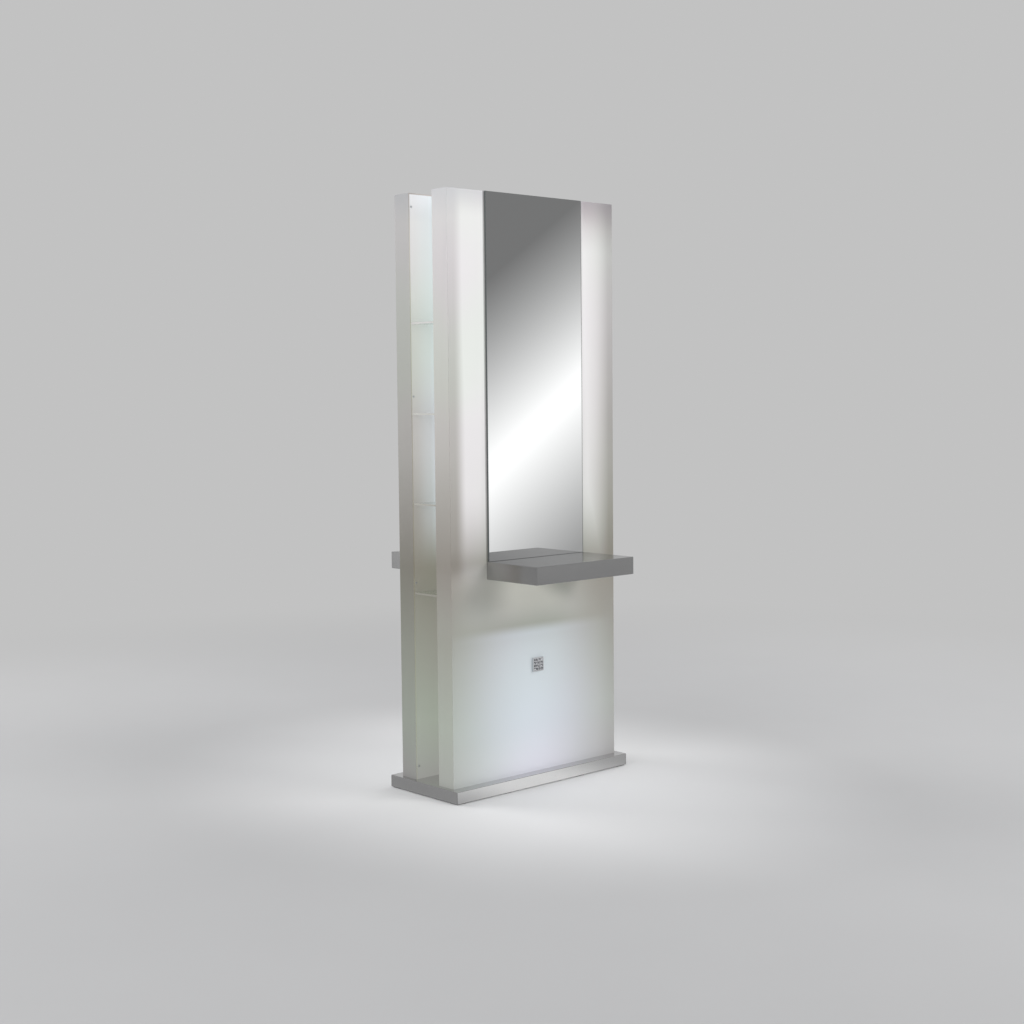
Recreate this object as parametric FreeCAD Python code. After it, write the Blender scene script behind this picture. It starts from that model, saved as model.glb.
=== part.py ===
import FreeCAD, Part
import math
import os

# Double-sided salon station: two upright opal light boxes stand back to back on a polished plinth,
# each with a mirror and a steel shelf, and share glass shelves in the gap between them.
# Millimetres. X runs along the width, Y from the front mirror (-Y) to the rear one (+Y), Z up.
# The origin is on the floor, at the centre of the plinth. Each side's pieces are built in front
# and turned half round about Z for the rear.

# ---- driving dimensions -------------------------------------------------------------------
OVERALL_HEIGHT = 2100.0
CASING_WIDTH = 800.0
CASING_DEPTH = 78.0
GAP = 125.0
PLINTH_LENGTH = 840.0
PLINTH_DEPTH = 364.0
PLINTH_HEIGHT = 42.0
PAD_THICKNESS = 3.0
SHELF_TOP = 822.0
SHELF_WIDTH = 474.0
SHELF_REACH = 255.0
SHELF_HEIGHT = 62.0
MIRROR_WIDTH = 464.0

# ---- plinth -------------------------------------------------------------------------------
DECK_SHEET = 2.0
PLINTH_TUBE_WIDTH = 40.0
PLINTH_TUBE_WALL = 3.0
CROSS_MEMBER_WIDTH = 80.0
PLINTH_FOLD_RADIUS = 1.5
PAD_SIZE = 40.0
PAD_INSET = 25.0
GROMMET_HOLE_RADIUS = 12.5
GROMMET_BORE_RADIUS = 8.0
GROMMET_FLANGE_RADIUS = 16.0
GROMMET_FLANGE = 2.0

# ---- light box ----------------------------------------------------------------------------
OPAL_SHEET = 4.0
CASING_EDGE_RADIUS = 1.5
BATTEN_SIZE = 12.0
BATTEN_FOOT = 10.0
PANEL_PLAY = 0.3
PANEL_SCREWS_PER_EDGE = 4
PANEL_SCREW_EDGE = 11.0
PANEL_SCREW_END = 47.0
MIRROR_GLASS = 5.0
MIRROR_TAPE = 1.0
MIRROR_ARRIS = 0.8
TAPE_WIDTH = 20.0
TAPE_PLACES = (-180.0, -60.0, 60.0, 180.0)
TAPE_END_GAP = 40.0

# ---- steel frame inside a light box ---------------------------------------------------------
POST_X = 180.0
POST_WIDTH = 30.0
POST_DEPTH = 20.0
POST_WALL = 2.0
FRAME_PLAY = 1.5
FRAME_TOP = 2060.0
RAIL_HEIGHTS = (885.0, 1447.0, 2009.0)
RAIL_HALF_LENGTH = 325.0
FOOT_WIDTH = 90.0
FOOT_DEPTH = 62.0
FOOT_PLATE = 5.0
ANCHOR_SPACING = 50.0
ANCHOR_FORWARD = 34.0
BOARD_WIDTH = 600.0
BOARD_BOTTOM = 565.0
BOARD_THICKNESS = 12.0
BOARD_TOP_OVERLAP = 8.0
BOARD_BATTEN_HEIGHT = 36.0
BOARD_BATTEN_HALF_LENGTH = 200.0
BOARD_BATTEN_PLACES = (595.0, 700.0)
BOARD_BOLT_ROOM = 6.0

# ---- shelf --------------------------------------------------------------------------------
SHELF_SHEET = 1.5
SHELF_EDGE_RADIUS = 1.2
SHELF_LIP = 15.0
ARM_X = 150.0
ARM_WIDTH = 25.0
ARM_HEIGHT = 40.0
ARM_WALL = 2.0
ARM_REACH = 215.0
ARM_SLOT_PLAY = 1.0
BRACKET_PLATE = 5.0
BRACKET_WIDTH = 400.0
BRACKET_BOTTOM = 742.0
BRACKET_TOP = 850.0
BRACKET_BOLT_EDGE = 14.0
SADDLE_DROP = 30.0
SADDLE_PLAY = 0.3
SADDLE_ENDS = (20.0, 205.0)
UNDERPLATE_EDGE = 1.0
PLATE_SCREW_REACHES = (40.0, 215.0)

# ---- rocker switch under the shelf ----------------------------------------------------------
SWITCH_BACK = 205.0
BEZEL_LENGTH = 34.0
BEZEL_WIDTH = 26.0
BEZEL_HEIGHT = 2.0
BEZEL_BEVEL = 0.8
SWITCH_LENGTH = 30.0
SWITCH_WIDTH = 22.0
SWITCH_BODY = 18.0
SWITCH_PLAY = 0.1
SWITCH_TAB = (0.8, 6.3, 8.0)
SWITCH_TAB_PLACES = (-9.0, 0.0, 9.0)
ROCKER_POCKET = 13.6
ROCKER_RADIUS = 13.3
ROCKER_HALF_WIDTH = 8.6
ROCKER_GAP = 0.3
ROCKER_SWING = 16.0
ROCKER_PIVOT = 3.0
ROCKER_CROWN = 1.0
ROCKER_SKIRT = 3.5
ROCKER_SKIRT_ROOM = 4.0
ROCKER_PIN_RADIUS = 1.5
ROCKER_PIN_LENGTH = 1.5
ROCKER_PIN_PLAY = 0.05
ROCKER_PIN_END_PLAY = 0.2

# ---- lamps and control gear -----------------------------------------------------------------
TUBE_RADIUS = 8.0
TUBE_PIN_RADIUS = 1.2
TUBE_PIN_LENGTH = 7.0
TUBE_PIN_SPACING = 5.0
SIDE_TUBE_X = 300.0
SIDE_TUBE_LENGTH = 1149.0
SIDE_TUBE_START = 873.0
LOW_TUBE_LENGTH = 549.0
LOW_TUBE_Z = 250.0
CHANNEL_WIDTH = 40.0
CHANNEL_DEPTH = 8.0
CHANNEL_SHEET = 1.0
HOLDER_WIDTH = 18.0
HOLDER_THICKNESS = 10.0
HOLDER_DEPTH = 26.0
HOLDER_BEVEL = 4.0
HOLDER_PIN_PLAY = 0.2
HOLDER_PIN_END_PLAY = 0.5
CHANNEL_OVERHANG = 4.0
TUBE_STANDOFF = 17.0
TRAY_HEIGHTS = (950.0, 1250.0)
TRAY_HALF_WIDTH = 195.0
TRAY_LIP = 12.0
BALLAST_SIZES = ((360.0, 30.0, 21.0), (280.0, 30.0, 21.0))
BALLAST_HEIGHTS = (1190.0, 1120.0)
BALLAST_BEVEL = 2.0
TERMINAL_SIZE = (48.0, 24.0, 18.0)
TERMINAL_HEIGHT = 1020.0
TERMINAL_WAYS = 3
TERMINAL_WELL = 5.0
TERMINAL_WELL_DEPTH = 4.0
TERMINAL_RIB_GAP = 1.0
TERMINAL_RIB_DEPTH = 6.0

# ---- badge --------------------------------------------------------------------------------
BADGE_SIZE = 50.0
BADGE_PLATE = 7.0
BADGE_HEIGHT = 434.0
BADGE_RIM = 3.0
BADGE_RIM_RISE = 1.0
STUD_COUNT = 4
STUD_BASE = 8.0
STUD_GIRDLE = 1.0
STUD_BEVEL = 1.9

# ---- shelves in the gap ---------------------------------------------------------------------
GAP_SHELF_COUNT = 4
GAP_SHELF_LOWEST = 713.0
GAP_SHELF_PITCH = 314.0
GAP_SHELF_GLASS = 6.0
GAP_SHELF_PLAY = 0.5
GAP_SHELF_SIDE_INSET = 2.0
GAP_SHELF_CORNER = 4.0
CLEAT_X = 240.0
CLEAT_LENGTH = 30.0
CLEAT_DEPTH = 10.0
CLEAT_HEIGHT = 8.0
CLEAT_BEVEL = 3.0

# ---- fasteners: shank radius, shank length, head radius, head height --------------------------
PANEL_SCREW = (1.9, 14.0, 4.0, 2.4)
PLATE_SCREW = (1.9, 6.0, 3.6, 1.8)
SADDLE_SCREW = (2.4, 5.0, 4.0, 2.0)
ANCHOR_BOLT = (4.9, 16.0, 8.5, 6.4)
BRACKET_BOLT = (3.9, 12.0, 6.5, 5.3)
HOLE_PLAY = 0.3
THREAD_PLAY = 0.1
NUT_HEIGHT = 8.0
SHANK_SIDES = 8
PIN_SIDES = 8
HEAD_SIDES = 12
HOLE_SIDES = 12
GROMMET_SIDES = 24

# ---- working values: how far a cutter runs past a face, and how near an edge lies to a plane ------
PAST = 1.0
NEAR = 0.1

# ---- places worked out from the dimensions above ----------------------------------------------
DECK = PAD_THICKNESS + PLINTH_HEIGHT
FACE = -(GAP / 2 + CASING_DEPTH)
INNER_FACE = -GAP / 2
PANEL_INSIDE = INNER_FACE - OPAL_SHEET
FRONT_INSIDE = FACE + OPAL_SHEET
CASING_TOP_INSIDE = OVERALL_HEIGHT - OPAL_SHEET
POST_BACK = PANEL_INSIDE - FRAME_PLAY
POST_FRONT = POST_BACK - POST_DEPTH
CHANNEL_FRONT = POST_FRONT - CHANNEL_DEPTH
TUBE_AXIS = CHANNEL_FRONT - TUBE_STANDOFF
BOARD_FRONT = FRONT_INSIDE + BOARD_BOLT_ROOM
BOARD_BACK = BOARD_FRONT + BOARD_THICKNESS
SHELF_BOTTOM = SHELF_TOP - SHELF_HEIGHT
SHELF_FRONT = FACE - SHELF_REACH
ARM_TOP = SHELF_TOP - SHELF_SHEET
ARM_BOTTOM = ARM_TOP - ARM_HEIGHT
SWITCH_Y = FACE - SWITCH_BACK
BEZEL_FACE = SHELF_BOTTOM - BEZEL_HEIGHT
ROCKER_AXIS_Z = BEZEL_FACE + ROCKER_PIVOT
ANCHOR_Y = POST_BACK - ANCHOR_FORWARD

OUT = "parts"
X_AXIS = FreeCAD.Vector(1, 0, 0)
Y_AXIS = FreeCAD.Vector(0, 1, 0)
Z_AXIS = FreeCAD.Vector(0, 0, 1)
SIDES = (-1, 1)


# ---- small helpers --------------------------------------------------------------------------
def box(x, y, z):
    """A block between the two values of each of its three ranges."""
    size = [max(pair) - min(pair) for pair in (x, y, z)]
    return Part.makeBox(*size, FreeCAD.Vector(min(x), min(y), min(z)))


def around(middle, size):
    """The range of a given size about a middle."""
    return (middle - size / 2, middle + size / 2)


def rod(start, axis, radius, length):
    return Part.makeCylinder(radius, length, FreeCAD.Vector(*start), axis)


def prism(start, axis, corner_radius, length, sides):
    """A prism with a regular section from start along an axis."""
    turn = FreeCAD.Rotation(Z_AXIS, axis)
    corners = []
    for step in range(sides + 1):
        angle = 2 * math.pi * step / sides
        corner = FreeCAD.Vector(math.cos(angle), math.sin(angle), 0) * corner_radius
        corners.append(FreeCAD.Vector(*start) + turn.multVec(corner))
    return Part.Face(Part.makePolygon(corners)).extrude(axis * length)


def hexagon(start, axis, flat_radius, length):
    """A hexagonal head or nut, given from its middle to a flat."""
    return prism(start, axis, flat_radius / math.cos(math.pi / 6), length, 6)


def round_head(start, axis, radius, length):
    return prism(start, axis, radius, length, HEAD_SIDES)


def screw(seat, axis, sizes, head_form=round_head):
    """A screw whose head lies on seat. Its shank has no thread and is a many-sided core."""
    shank_radius, shank_length, head_radius, head_height = sizes
    head_start = FreeCAD.Vector(*seat) - axis * head_height
    head = head_form(head_start, axis, head_radius, head_height)
    return head.fuse(prism(seat, axis, shank_radius, shank_length, SHANK_SIDES))


def threaded_hole(start, axis, shank_radius, length):
    """The hole that a shank is screwed into, many-sided as the shank is."""
    return prism(start, axis, shank_radius + THREAD_PLAY, length, SHANK_SIDES)


def clearance_hole(start, axis, shank_radius, length):
    """The hole that a shank passes through, always covered by the head or the foot on it."""
    return prism(start, axis, shank_radius + HOLE_PLAY, length, HOLE_SIDES)


def square_tube(x, y, z, wall, along):
    """A tube of rectangular section, hollow right through along X, Y or Z (0, 1 or 2)."""
    ranges = [x, y, z]
    hollow = []
    for index, pair in enumerate(ranges):
        grow = PAST if index == along else -wall
        hollow.append((min(pair) - grow, max(pair) + grow))
    return box(*ranges).cut(box(*hollow))


def round_edges(shape, radius, chosen):
    return shape.makeFillet(radius, [edge for edge in shape.Edges if chosen(edge.BoundBox)])


def join(shapes):
    return shapes[0].fuse(shapes[1:]).removeSplitter()


def group(shapes):
    return Part.makeCompound(shapes)


def half_turn(shape):
    turned = shape.copy()
    turned.rotate(FreeCAD.Vector(0, 0, 0), Z_AXIS, 180)
    return turned


def save(name, shape):
    shape.exportStep(os.path.join(OUT, name + ".step"))


def save_sides(name, shape):
    """The front piece, and the same piece turned half round for the rear."""
    save("front_" + name, shape)
    save("rear_" + name, half_turn(shape))


def save_group(name, pieces):
    """One node for identical fasteners of both sides."""
    save(name, group(pieces + [half_turn(piece) for piece in pieces]))


# ---- plinth ---------------------------------------------------------------------------------
def anchor_places():
    return [(side * POST_X + offset, ANCHOR_Y)
            for side in SIDES for offset in around(0, ANCHOR_SPACING)]


def plinth_pan():
    """The polished sheet cover: a deck with four edges folded down and mitred, open below."""
    pan = box(around(0, PLINTH_LENGTH), around(0, PLINTH_DEPTH), (PAD_THICKNESS, DECK))
    pan = round_edges(pan, PLINTH_FOLD_RADIUS, lambda b: b.ZMin > DECK - NEAR)
    pan = pan.cut(box(around(0, PLINTH_LENGTH - 2 * DECK_SHEET),
                      around(0, PLINTH_DEPTH - 2 * DECK_SHEET),
                      (PAD_THICKNESS - PAST, DECK - DECK_SHEET)))
    holes = [clearance_hole((x, y, DECK - DECK_SHEET - PAST), Z_AXIS, ANCHOR_BOLT[0], DECK_SHEET + 2 * PAST)
             for x, y in anchor_places()]
    holes.append(prism((0, ANCHOR_Y, DECK - DECK_SHEET - PAST), Z_AXIS, GROMMET_HOLE_RADIUS,
                       DECK_SHEET + 2 * PAST, GROMMET_SIDES))
    return pan.cut(holes + [half_turn(hole) for hole in holes])


def plinth_frame():
    """The welded ladder under the deck, with nuts below the holes for the anchor bolts."""
    top = DECK - DECK_SHEET
    height = (PAD_THICKNESS, top)
    half_length = PLINTH_LENGTH / 2 - DECK_SHEET
    half_depth = PLINTH_DEPTH / 2 - DECK_SHEET
    inside = half_depth - PLINTH_TUBE_WIDTH
    tubes = []
    for side in SIDES:
        tubes.append(square_tube((-half_length, half_length), (side * inside, side * half_depth),
                                 height, PLINTH_TUBE_WALL, 0))
        tubes.append(square_tube((side * half_length, side * (half_length - PLINTH_TUBE_WIDTH)),
                                 (-inside, inside), height, PLINTH_TUBE_WALL, 1))
        tubes.append(square_tube(around(side * POST_X, CROSS_MEMBER_WIDTH), (-inside, inside),
                                 height, PLINTH_TUBE_WALL, 1))
    frame = join(tubes)
    nut_top = top - PLINTH_TUBE_WALL
    nuts = [hexagon((x, y, nut_top - NUT_HEIGHT), Z_AXIS, ANCHOR_BOLT[2], NUT_HEIGHT)
            for x, y in anchor_places()]
    frame = join([frame] + nuts + [half_turn(nut) for nut in nuts])
    bores = [threaded_hole((x, y, nut_top - NUT_HEIGHT - PAST), Z_AXIS, ANCHOR_BOLT[0],
                           PLINTH_TUBE_WALL + NUT_HEIGHT + 2 * PAST)
             for x, y in anchor_places()]
    return frame.cut(bores + [half_turn(bore) for bore in bores])


def floor_pads():
    x_places = [side * (PLINTH_LENGTH / 2 - PAD_INSET) for side in SIDES]
    x_places += [side * POST_X for side in SIDES]
    y_places = [side * (PLINTH_DEPTH / 2 - PAD_INSET) for side in SIDES]
    return [box(around(x, PAD_SIZE), around(y, PAD_SIZE), (0, PAD_THICKNESS))
            for x in x_places for y in y_places]


def cable_grommet():
    """A rubber ring in the deck, where the supply comes up into a light box."""
    low = DECK - DECK_SHEET - GROMMET_FLANGE
    total = DECK_SHEET + 2 * GROMMET_FLANGE

    def disc(z, radius, height):
        return prism((0, ANCHOR_Y, z), Z_AXIS, radius, height, GROMMET_SIDES)

    ring = join([disc(low, GROMMET_HOLE_RADIUS, total), disc(low, GROMMET_FLANGE_RADIUS, GROMMET_FLANGE),
                 disc(DECK, GROMMET_FLANGE_RADIUS, GROMMET_FLANGE)])
    return ring.cut(disc(low - PAST, GROMMET_BORE_RADIUS, total + 2 * PAST))


# ---- light box --------------------------------------------------------------------------------
def panel_screw_places():
    low = DECK + PANEL_SCREW_END
    high = OVERALL_HEIGHT - PANEL_SCREW_END
    step = (high - low) / (PANEL_SCREWS_PER_EDGE - 1)
    x = CASING_WIDTH / 2 - PANEL_SCREW_EDGE
    return [(side * x, low + index * step) for side in SIDES for index in range(PANEL_SCREWS_PER_EDGE)]


def arm_slots(y):
    return [box(around(side * ARM_X, ARM_WIDTH + 2 * ARM_SLOT_PLAY), y,
                (ARM_BOTTOM - ARM_SLOT_PLAY, ARM_TOP + ARM_SLOT_PLAY)) for side in SIDES]


def casing():
    """The opal shell: face, two sides and top, with a glued batten in each side for the panel."""
    shell = box(around(0, CASING_WIDTH), (FACE, INNER_FACE), (DECK, OVERALL_HEIGHT))

    def outer_edge(bounds):
        on_face = bounds.YMax < FACE + NEAR and bounds.ZMax > DECK + NEAR
        on_top_side = bounds.ZMin > OVERALL_HEIGHT - NEAR and bounds.XLength < NEAR
        return on_face or on_top_side

    shell = round_edges(shell, CASING_EDGE_RADIUS, outer_edge)
    shell = shell.cut(box(around(0, CASING_WIDTH - 2 * OPAL_SHEET), (FRONT_INSIDE, INNER_FACE + PAST),
                          (DECK - PAST, CASING_TOP_INSIDE)))
    inside = CASING_WIDTH / 2 - OPAL_SHEET
    battens = [box((side * inside, side * (inside - BATTEN_SIZE)),
                   (PANEL_INSIDE, PANEL_INSIDE - BATTEN_SIZE),
                   (DECK + BATTEN_FOOT, CASING_TOP_INSIDE)) for side in SIDES]
    shell = join([shell] + battens)
    bores = [threaded_hole((x, PANEL_INSIDE + PAST, z), -Y_AXIS, PANEL_SCREW[0], BATTEN_SIZE)
             for x, z in panel_screw_places()]
    return shell.cut(bores + arm_slots((FACE - PAST, FRONT_INSIDE + PAST)))


def inner_panel():
    """The opal sheet that closes the shell towards the gap."""
    panel = box(around(0, CASING_WIDTH - 2 * (OPAL_SHEET + PANEL_PLAY)), (PANEL_INSIDE, INNER_FACE),
                (DECK, CASING_TOP_INSIDE - PANEL_PLAY))
    holes = [clearance_hole((x, INNER_FACE + PAST, z), -Y_AXIS, PANEL_SCREW[0], OPAL_SHEET + 2 * PAST)
             for x, z in panel_screw_places()]
    return panel.cut(holes)


def panel_screws():
    return [screw((x, INNER_FACE, z), -Y_AXIS, PANEL_SCREW) for x, z in panel_screw_places()]


def mirror():
    front = FACE - MIRROR_TAPE - MIRROR_GLASS
    glass = box(around(0, MIRROR_WIDTH), (front, FACE - MIRROR_TAPE), (SHELF_TOP, OVERALL_HEIGHT))
    edges = [edge for edge in glass.Edges if edge.BoundBox.YMax < front + NEAR]
    return glass.makeChamfer(MIRROR_ARRIS, edges)


def mirror_tape():
    return [box(around(x, TAPE_WIDTH), (FACE - MIRROR_TAPE, FACE),
                (SHELF_TOP + TAPE_END_GAP, OVERALL_HEIGHT - TAPE_END_GAP)) for x in TAPE_PLACES]


# ---- steel frame --------------------------------------------------------------------------------
def light_box_frame():
    """Two posts on foot plates, with three rails across them that carry the lamp channels."""
    depth = (POST_FRONT, POST_BACK)
    foot_top = DECK + FOOT_PLATE
    pieces = []
    for side in SIDES:
        pieces.append(square_tube(around(side * POST_X, POST_WIDTH), depth, (foot_top, FRAME_TOP),
                                  POST_WALL, 2))
        pieces.append(box(around(side * POST_X, FOOT_WIDTH), (POST_BACK - FOOT_DEPTH, POST_BACK),
                          (DECK, foot_top)))
    post_inside = POST_X - POST_WIDTH / 2
    post_outside = POST_X + POST_WIDTH / 2
    runs = ((-RAIL_HALF_LENGTH, -post_outside), (-post_inside, post_inside),
            (post_outside, RAIL_HALF_LENGTH))
    for z in RAIL_HEIGHTS:
        pieces += [square_tube(run, depth, around(z, POST_WIDTH), POST_WALL, 0) for run in runs]
    frame = join(pieces)
    holes = [clearance_hole((x, y, DECK - PAST), Z_AXIS, ANCHOR_BOLT[0], FOOT_PLATE + 2 * PAST)
             for x, y in anchor_places()]
    holes += [threaded_hole((x, POST_FRONT - PAST, z), Y_AXIS, BRACKET_BOLT[0], POST_WALL + 2 * PAST)
              for x, z in bracket_bolt_places() + board_bolt_places()]
    return frame.cut(holes)


def anchor_bolts():
    return [screw((x, y, DECK + FOOT_PLATE), -Z_AXIS, ANCHOR_BOLT, hexagon) for x, y in anchor_places()]


def bracket_bolt_places():
    return [(side * POST_X, z) for side in SIDES
            for z in (BRACKET_BOTTOM + BRACKET_BOLT_EDGE, BRACKET_TOP - BRACKET_BOLT_EDGE)]


def board_bolt_places():
    return [(side * POST_X, z) for side in SIDES for z in BOARD_BATTEN_PLACES]


def carrier_board():
    """The board that backs the face round the shelf arms, with two battens glued behind it."""
    board = box(around(0, BOARD_WIDTH), (BOARD_FRONT, BOARD_BACK),
                (BOARD_BOTTOM, SHELF_TOP + BOARD_TOP_OVERLAP))
    battens = [box(around(0, 2 * BOARD_BATTEN_HALF_LENGTH), (BOARD_BACK, POST_FRONT),
                   around(z, BOARD_BATTEN_HEIGHT)) for z in BOARD_BATTEN_PLACES]
    holes = [clearance_hole((x, BOARD_FRONT - PAST, z), Y_AXIS, BRACKET_BOLT[0],
                            POST_FRONT - BOARD_FRONT + 2 * PAST)
             for x, z in board_bolt_places()]
    return join([board] + battens).cut(holes + arm_slots((BOARD_FRONT - PAST, BOARD_BACK + PAST)))


def board_bolts():
    reach = POST_FRONT + POST_WALL - BOARD_FRONT
    sizes = (BRACKET_BOLT[0], reach, BRACKET_BOLT[2], BRACKET_BOLT[3])
    return [screw((x, BOARD_FRONT, z), Y_AXIS, sizes, hexagon) for x, z in board_bolt_places()]


# ---- shelf ----------------------------------------------------------------------------------
def shelf_bracket():
    """A plate across the posts with two hollow arms that run out through the face."""
    plate_front = POST_FRONT - BRACKET_PLATE
    plate = box(around(0, BRACKET_WIDTH), (plate_front, POST_FRONT), (BRACKET_BOTTOM, BRACKET_TOP))
    arms = [square_tube(around(side * ARM_X, ARM_WIDTH), (FACE - ARM_REACH, plate_front),
                        (ARM_BOTTOM, ARM_TOP), ARM_WALL, 1) for side in SIDES]
    bracket = join([plate] + arms)
    holes = [clearance_hole((x, plate_front - PAST, z), Y_AXIS, BRACKET_BOLT[0], BRACKET_PLATE + 2 * PAST)
             for x, z in bracket_bolt_places()]
    return bracket.cut(holes + saddle_screw_holes(threaded_hole))


def bracket_bolts():
    return [screw((x, POST_FRONT - BRACKET_PLATE, z), Y_AXIS, BRACKET_BOLT, hexagon)
            for x, z in bracket_bolt_places()]


def saddle_screw_places():
    """Outside each saddle, where a screw locks the shelf to its arm: side, then place."""
    seat = ARM_X + ARM_WIDTH / 2 + SADDLE_PLAY + SHELF_SHEET
    y = FACE - sum(SADDLE_ENDS) / 2
    return [(side, (side * seat, y, ARM_TOP - SADDLE_DROP / 2)) for side in SIDES]


def saddle_screw_holes(form):
    depth = SHELF_SHEET + SADDLE_PLAY + ARM_WALL + 2 * PAST
    return [form((x + side, y, z), X_AXIS * -side, SADDLE_SCREW[0], depth)
            for side, (x, y, z) in saddle_screw_places()]


def shelf_shell():
    """Folded sheet: top, nose and two ends with a lip below, and two saddles over the arms."""
    low = SHELF_BOTTOM + SHELF_SHEET
    half = SHELF_WIDTH / 2
    shell = box((-half, half), (SHELF_FRONT, FACE), (low, SHELF_TOP))
    shell = round_edges(shell, SHELF_EDGE_RADIUS,
                        lambda b: b.YMin < FACE - NEAR and b.ZMax > low + NEAR)
    hollow = box((-half + SHELF_SHEET, half - SHELF_SHEET), (SHELF_FRONT + SHELF_SHEET, FACE + PAST),
                 (low + SHELF_SHEET, SHELF_TOP - SHELF_SHEET))
    window = box((-half + SHELF_LIP, half - SHELF_LIP), (SHELF_FRONT + SHELF_LIP, FACE + PAST),
                 (low - PAST, low + SHELF_SHEET + PAST))
    shell = shell.cut([hollow, window])
    saddles = []
    inner = ARM_WIDTH / 2 + SADDLE_PLAY
    for side in SIDES:
        for flank in SIDES:
            x = side * ARM_X
            saddles.append(box((x + flank * inner, x + flank * (inner + SHELF_SHEET)),
                               (FACE - SADDLE_ENDS[1], FACE - SADDLE_ENDS[0]),
                               (ARM_TOP - SADDLE_DROP, ARM_TOP)))
    shell = join([shell] + saddles)
    holes = [threaded_hole((x, y, low - PAST), Z_AXIS, PLATE_SCREW[0], SHELF_SHEET + 2 * PAST)
             for x, y in plate_screw_places()]
    return shell.cut(holes + saddle_screw_holes(clearance_hole))


def saddle_screws():
    return [screw(place, X_AXIS * -side, SADDLE_SCREW) for side, place in saddle_screw_places()]


def plate_screw_places():
    x = (SHELF_WIDTH - SHELF_LIP) / 2
    return [(side * x, FACE - reach) for side in SIDES for reach in PLATE_SCREW_REACHES]


def underplate():
    """The plate screwed up under the shelf, with the switch's cut-out."""
    half = SHELF_WIDTH / 2 - UNDERPLATE_EDGE
    plate = box((-half, half), (SHELF_FRONT + UNDERPLATE_EDGE, FACE),
                (SHELF_BOTTOM, SHELF_BOTTOM + SHELF_SHEET))
    cuts = [clearance_hole((x, y, SHELF_BOTTOM - PAST), Z_AXIS, PLATE_SCREW[0], SHELF_SHEET + 2 * PAST)
            for x, y in plate_screw_places()]
    cuts.append(box(around(0, SWITCH_LENGTH + 2 * SWITCH_PLAY),
                    around(SWITCH_Y, SWITCH_WIDTH + 2 * SWITCH_PLAY),
                    (SHELF_BOTTOM - PAST, SHELF_BOTTOM + SHELF_SHEET + PAST)))
    return plate.cut(cuts)


def plate_screws():
    return [screw((x, y, SHELF_BOTTOM), Z_AXIS, PLATE_SCREW) for x, y in plate_screw_places()]


# ---- rocker switch ----------------------------------------------------------------------------
def switch_housing():
    """A snap-in body with a bezel below the plate and a pocket for the rocker."""
    bezel = box(around(0, BEZEL_LENGTH), around(SWITCH_Y, BEZEL_WIDTH), (BEZEL_FACE, SHELF_BOTTOM))
    bezel = bezel.makeChamfer(BEZEL_BEVEL, [edge for edge in bezel.Edges
                                            if edge.BoundBox.ZMax < BEZEL_FACE + NEAR])
    body = box(around(0, SWITCH_LENGTH), around(SWITCH_Y, SWITCH_WIDTH),
               (SHELF_BOTTOM, SHELF_BOTTOM + SWITCH_BODY))
    pocket = box(around(0, 2 * ROCKER_POCKET), around(SWITCH_Y, 2 * (ROCKER_HALF_WIDTH + ROCKER_GAP)),
                 (BEZEL_FACE - PAST, ROCKER_AXIS_Z + ROCKER_SKIRT + ROCKER_SKIRT_ROOM))
    pin_half = ROCKER_HALF_WIDTH + ROCKER_PIN_LENGTH + ROCKER_PIN_END_PLAY
    bore = rod((0, SWITCH_Y - pin_half, ROCKER_AXIS_Z), Y_AXIS, ROCKER_PIN_RADIUS + ROCKER_PIN_PLAY,
               2 * pin_half)
    tab_start = SHELF_BOTTOM + SWITCH_BODY
    thickness, width, length = SWITCH_TAB
    tabs = [box(around(x, thickness), around(SWITCH_Y, width), (tab_start, tab_start + length))
            for x in SWITCH_TAB_PLACES]
    return join([bezel, body] + tabs).cut([pocket, bore])


def switch_rocker():
    """The rocker: two flats that meet in a shallow V, and ends that are arcs about the pivot."""
    half_swing = math.radians(ROCKER_SWING / 2)
    crown = ROCKER_PIVOT + ROCKER_CROWN
    slope = math.tan(half_swing)
    # where a flat of this slope through (0, crown) meets the end arc
    reach = (-slope * crown + math.sqrt(ROCKER_RADIUS ** 2 * (1 + slope ** 2) - crown ** 2)) \
        / (1 + slope ** 2)
    tip = (reach, crown + slope * reach)
    skirt = (math.sqrt(ROCKER_RADIUS ** 2 - ROCKER_SKIRT ** 2), -ROCKER_SKIRT)

    def at(u, v):
        return FreeCAD.Vector(u, SWITCH_Y - ROCKER_HALF_WIDTH, ROCKER_AXIS_Z - v)

    edges = [Part.LineSegment(at(-tip[0], tip[1]), at(0, crown)),
             Part.LineSegment(at(0, crown), at(*tip)),
             Part.Arc(at(*tip), at(ROCKER_RADIUS, 0), at(*skirt)),
             Part.LineSegment(at(*skirt), at(-skirt[0], skirt[1])),
             Part.Arc(at(-skirt[0], skirt[1]), at(-ROCKER_RADIUS, 0), at(-tip[0], tip[1]))]
    outline = Part.Wire([edge.toShape() for edge in edges])
    rocker = Part.Face(outline).extrude(Y_AXIS * 2 * ROCKER_HALF_WIDTH)
    pin_half = ROCKER_HALF_WIDTH + ROCKER_PIN_LENGTH
    pin = rod((0, SWITCH_Y - pin_half, ROCKER_AXIS_Z), Y_AXIS, ROCKER_PIN_RADIUS, 2 * pin_half)
    rocker = join([rocker, pin])
    rocker.rotate(FreeCAD.Vector(0, SWITCH_Y, ROCKER_AXIS_Z), Y_AXIS, -ROCKER_SWING / 2)
    return rocker


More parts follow.
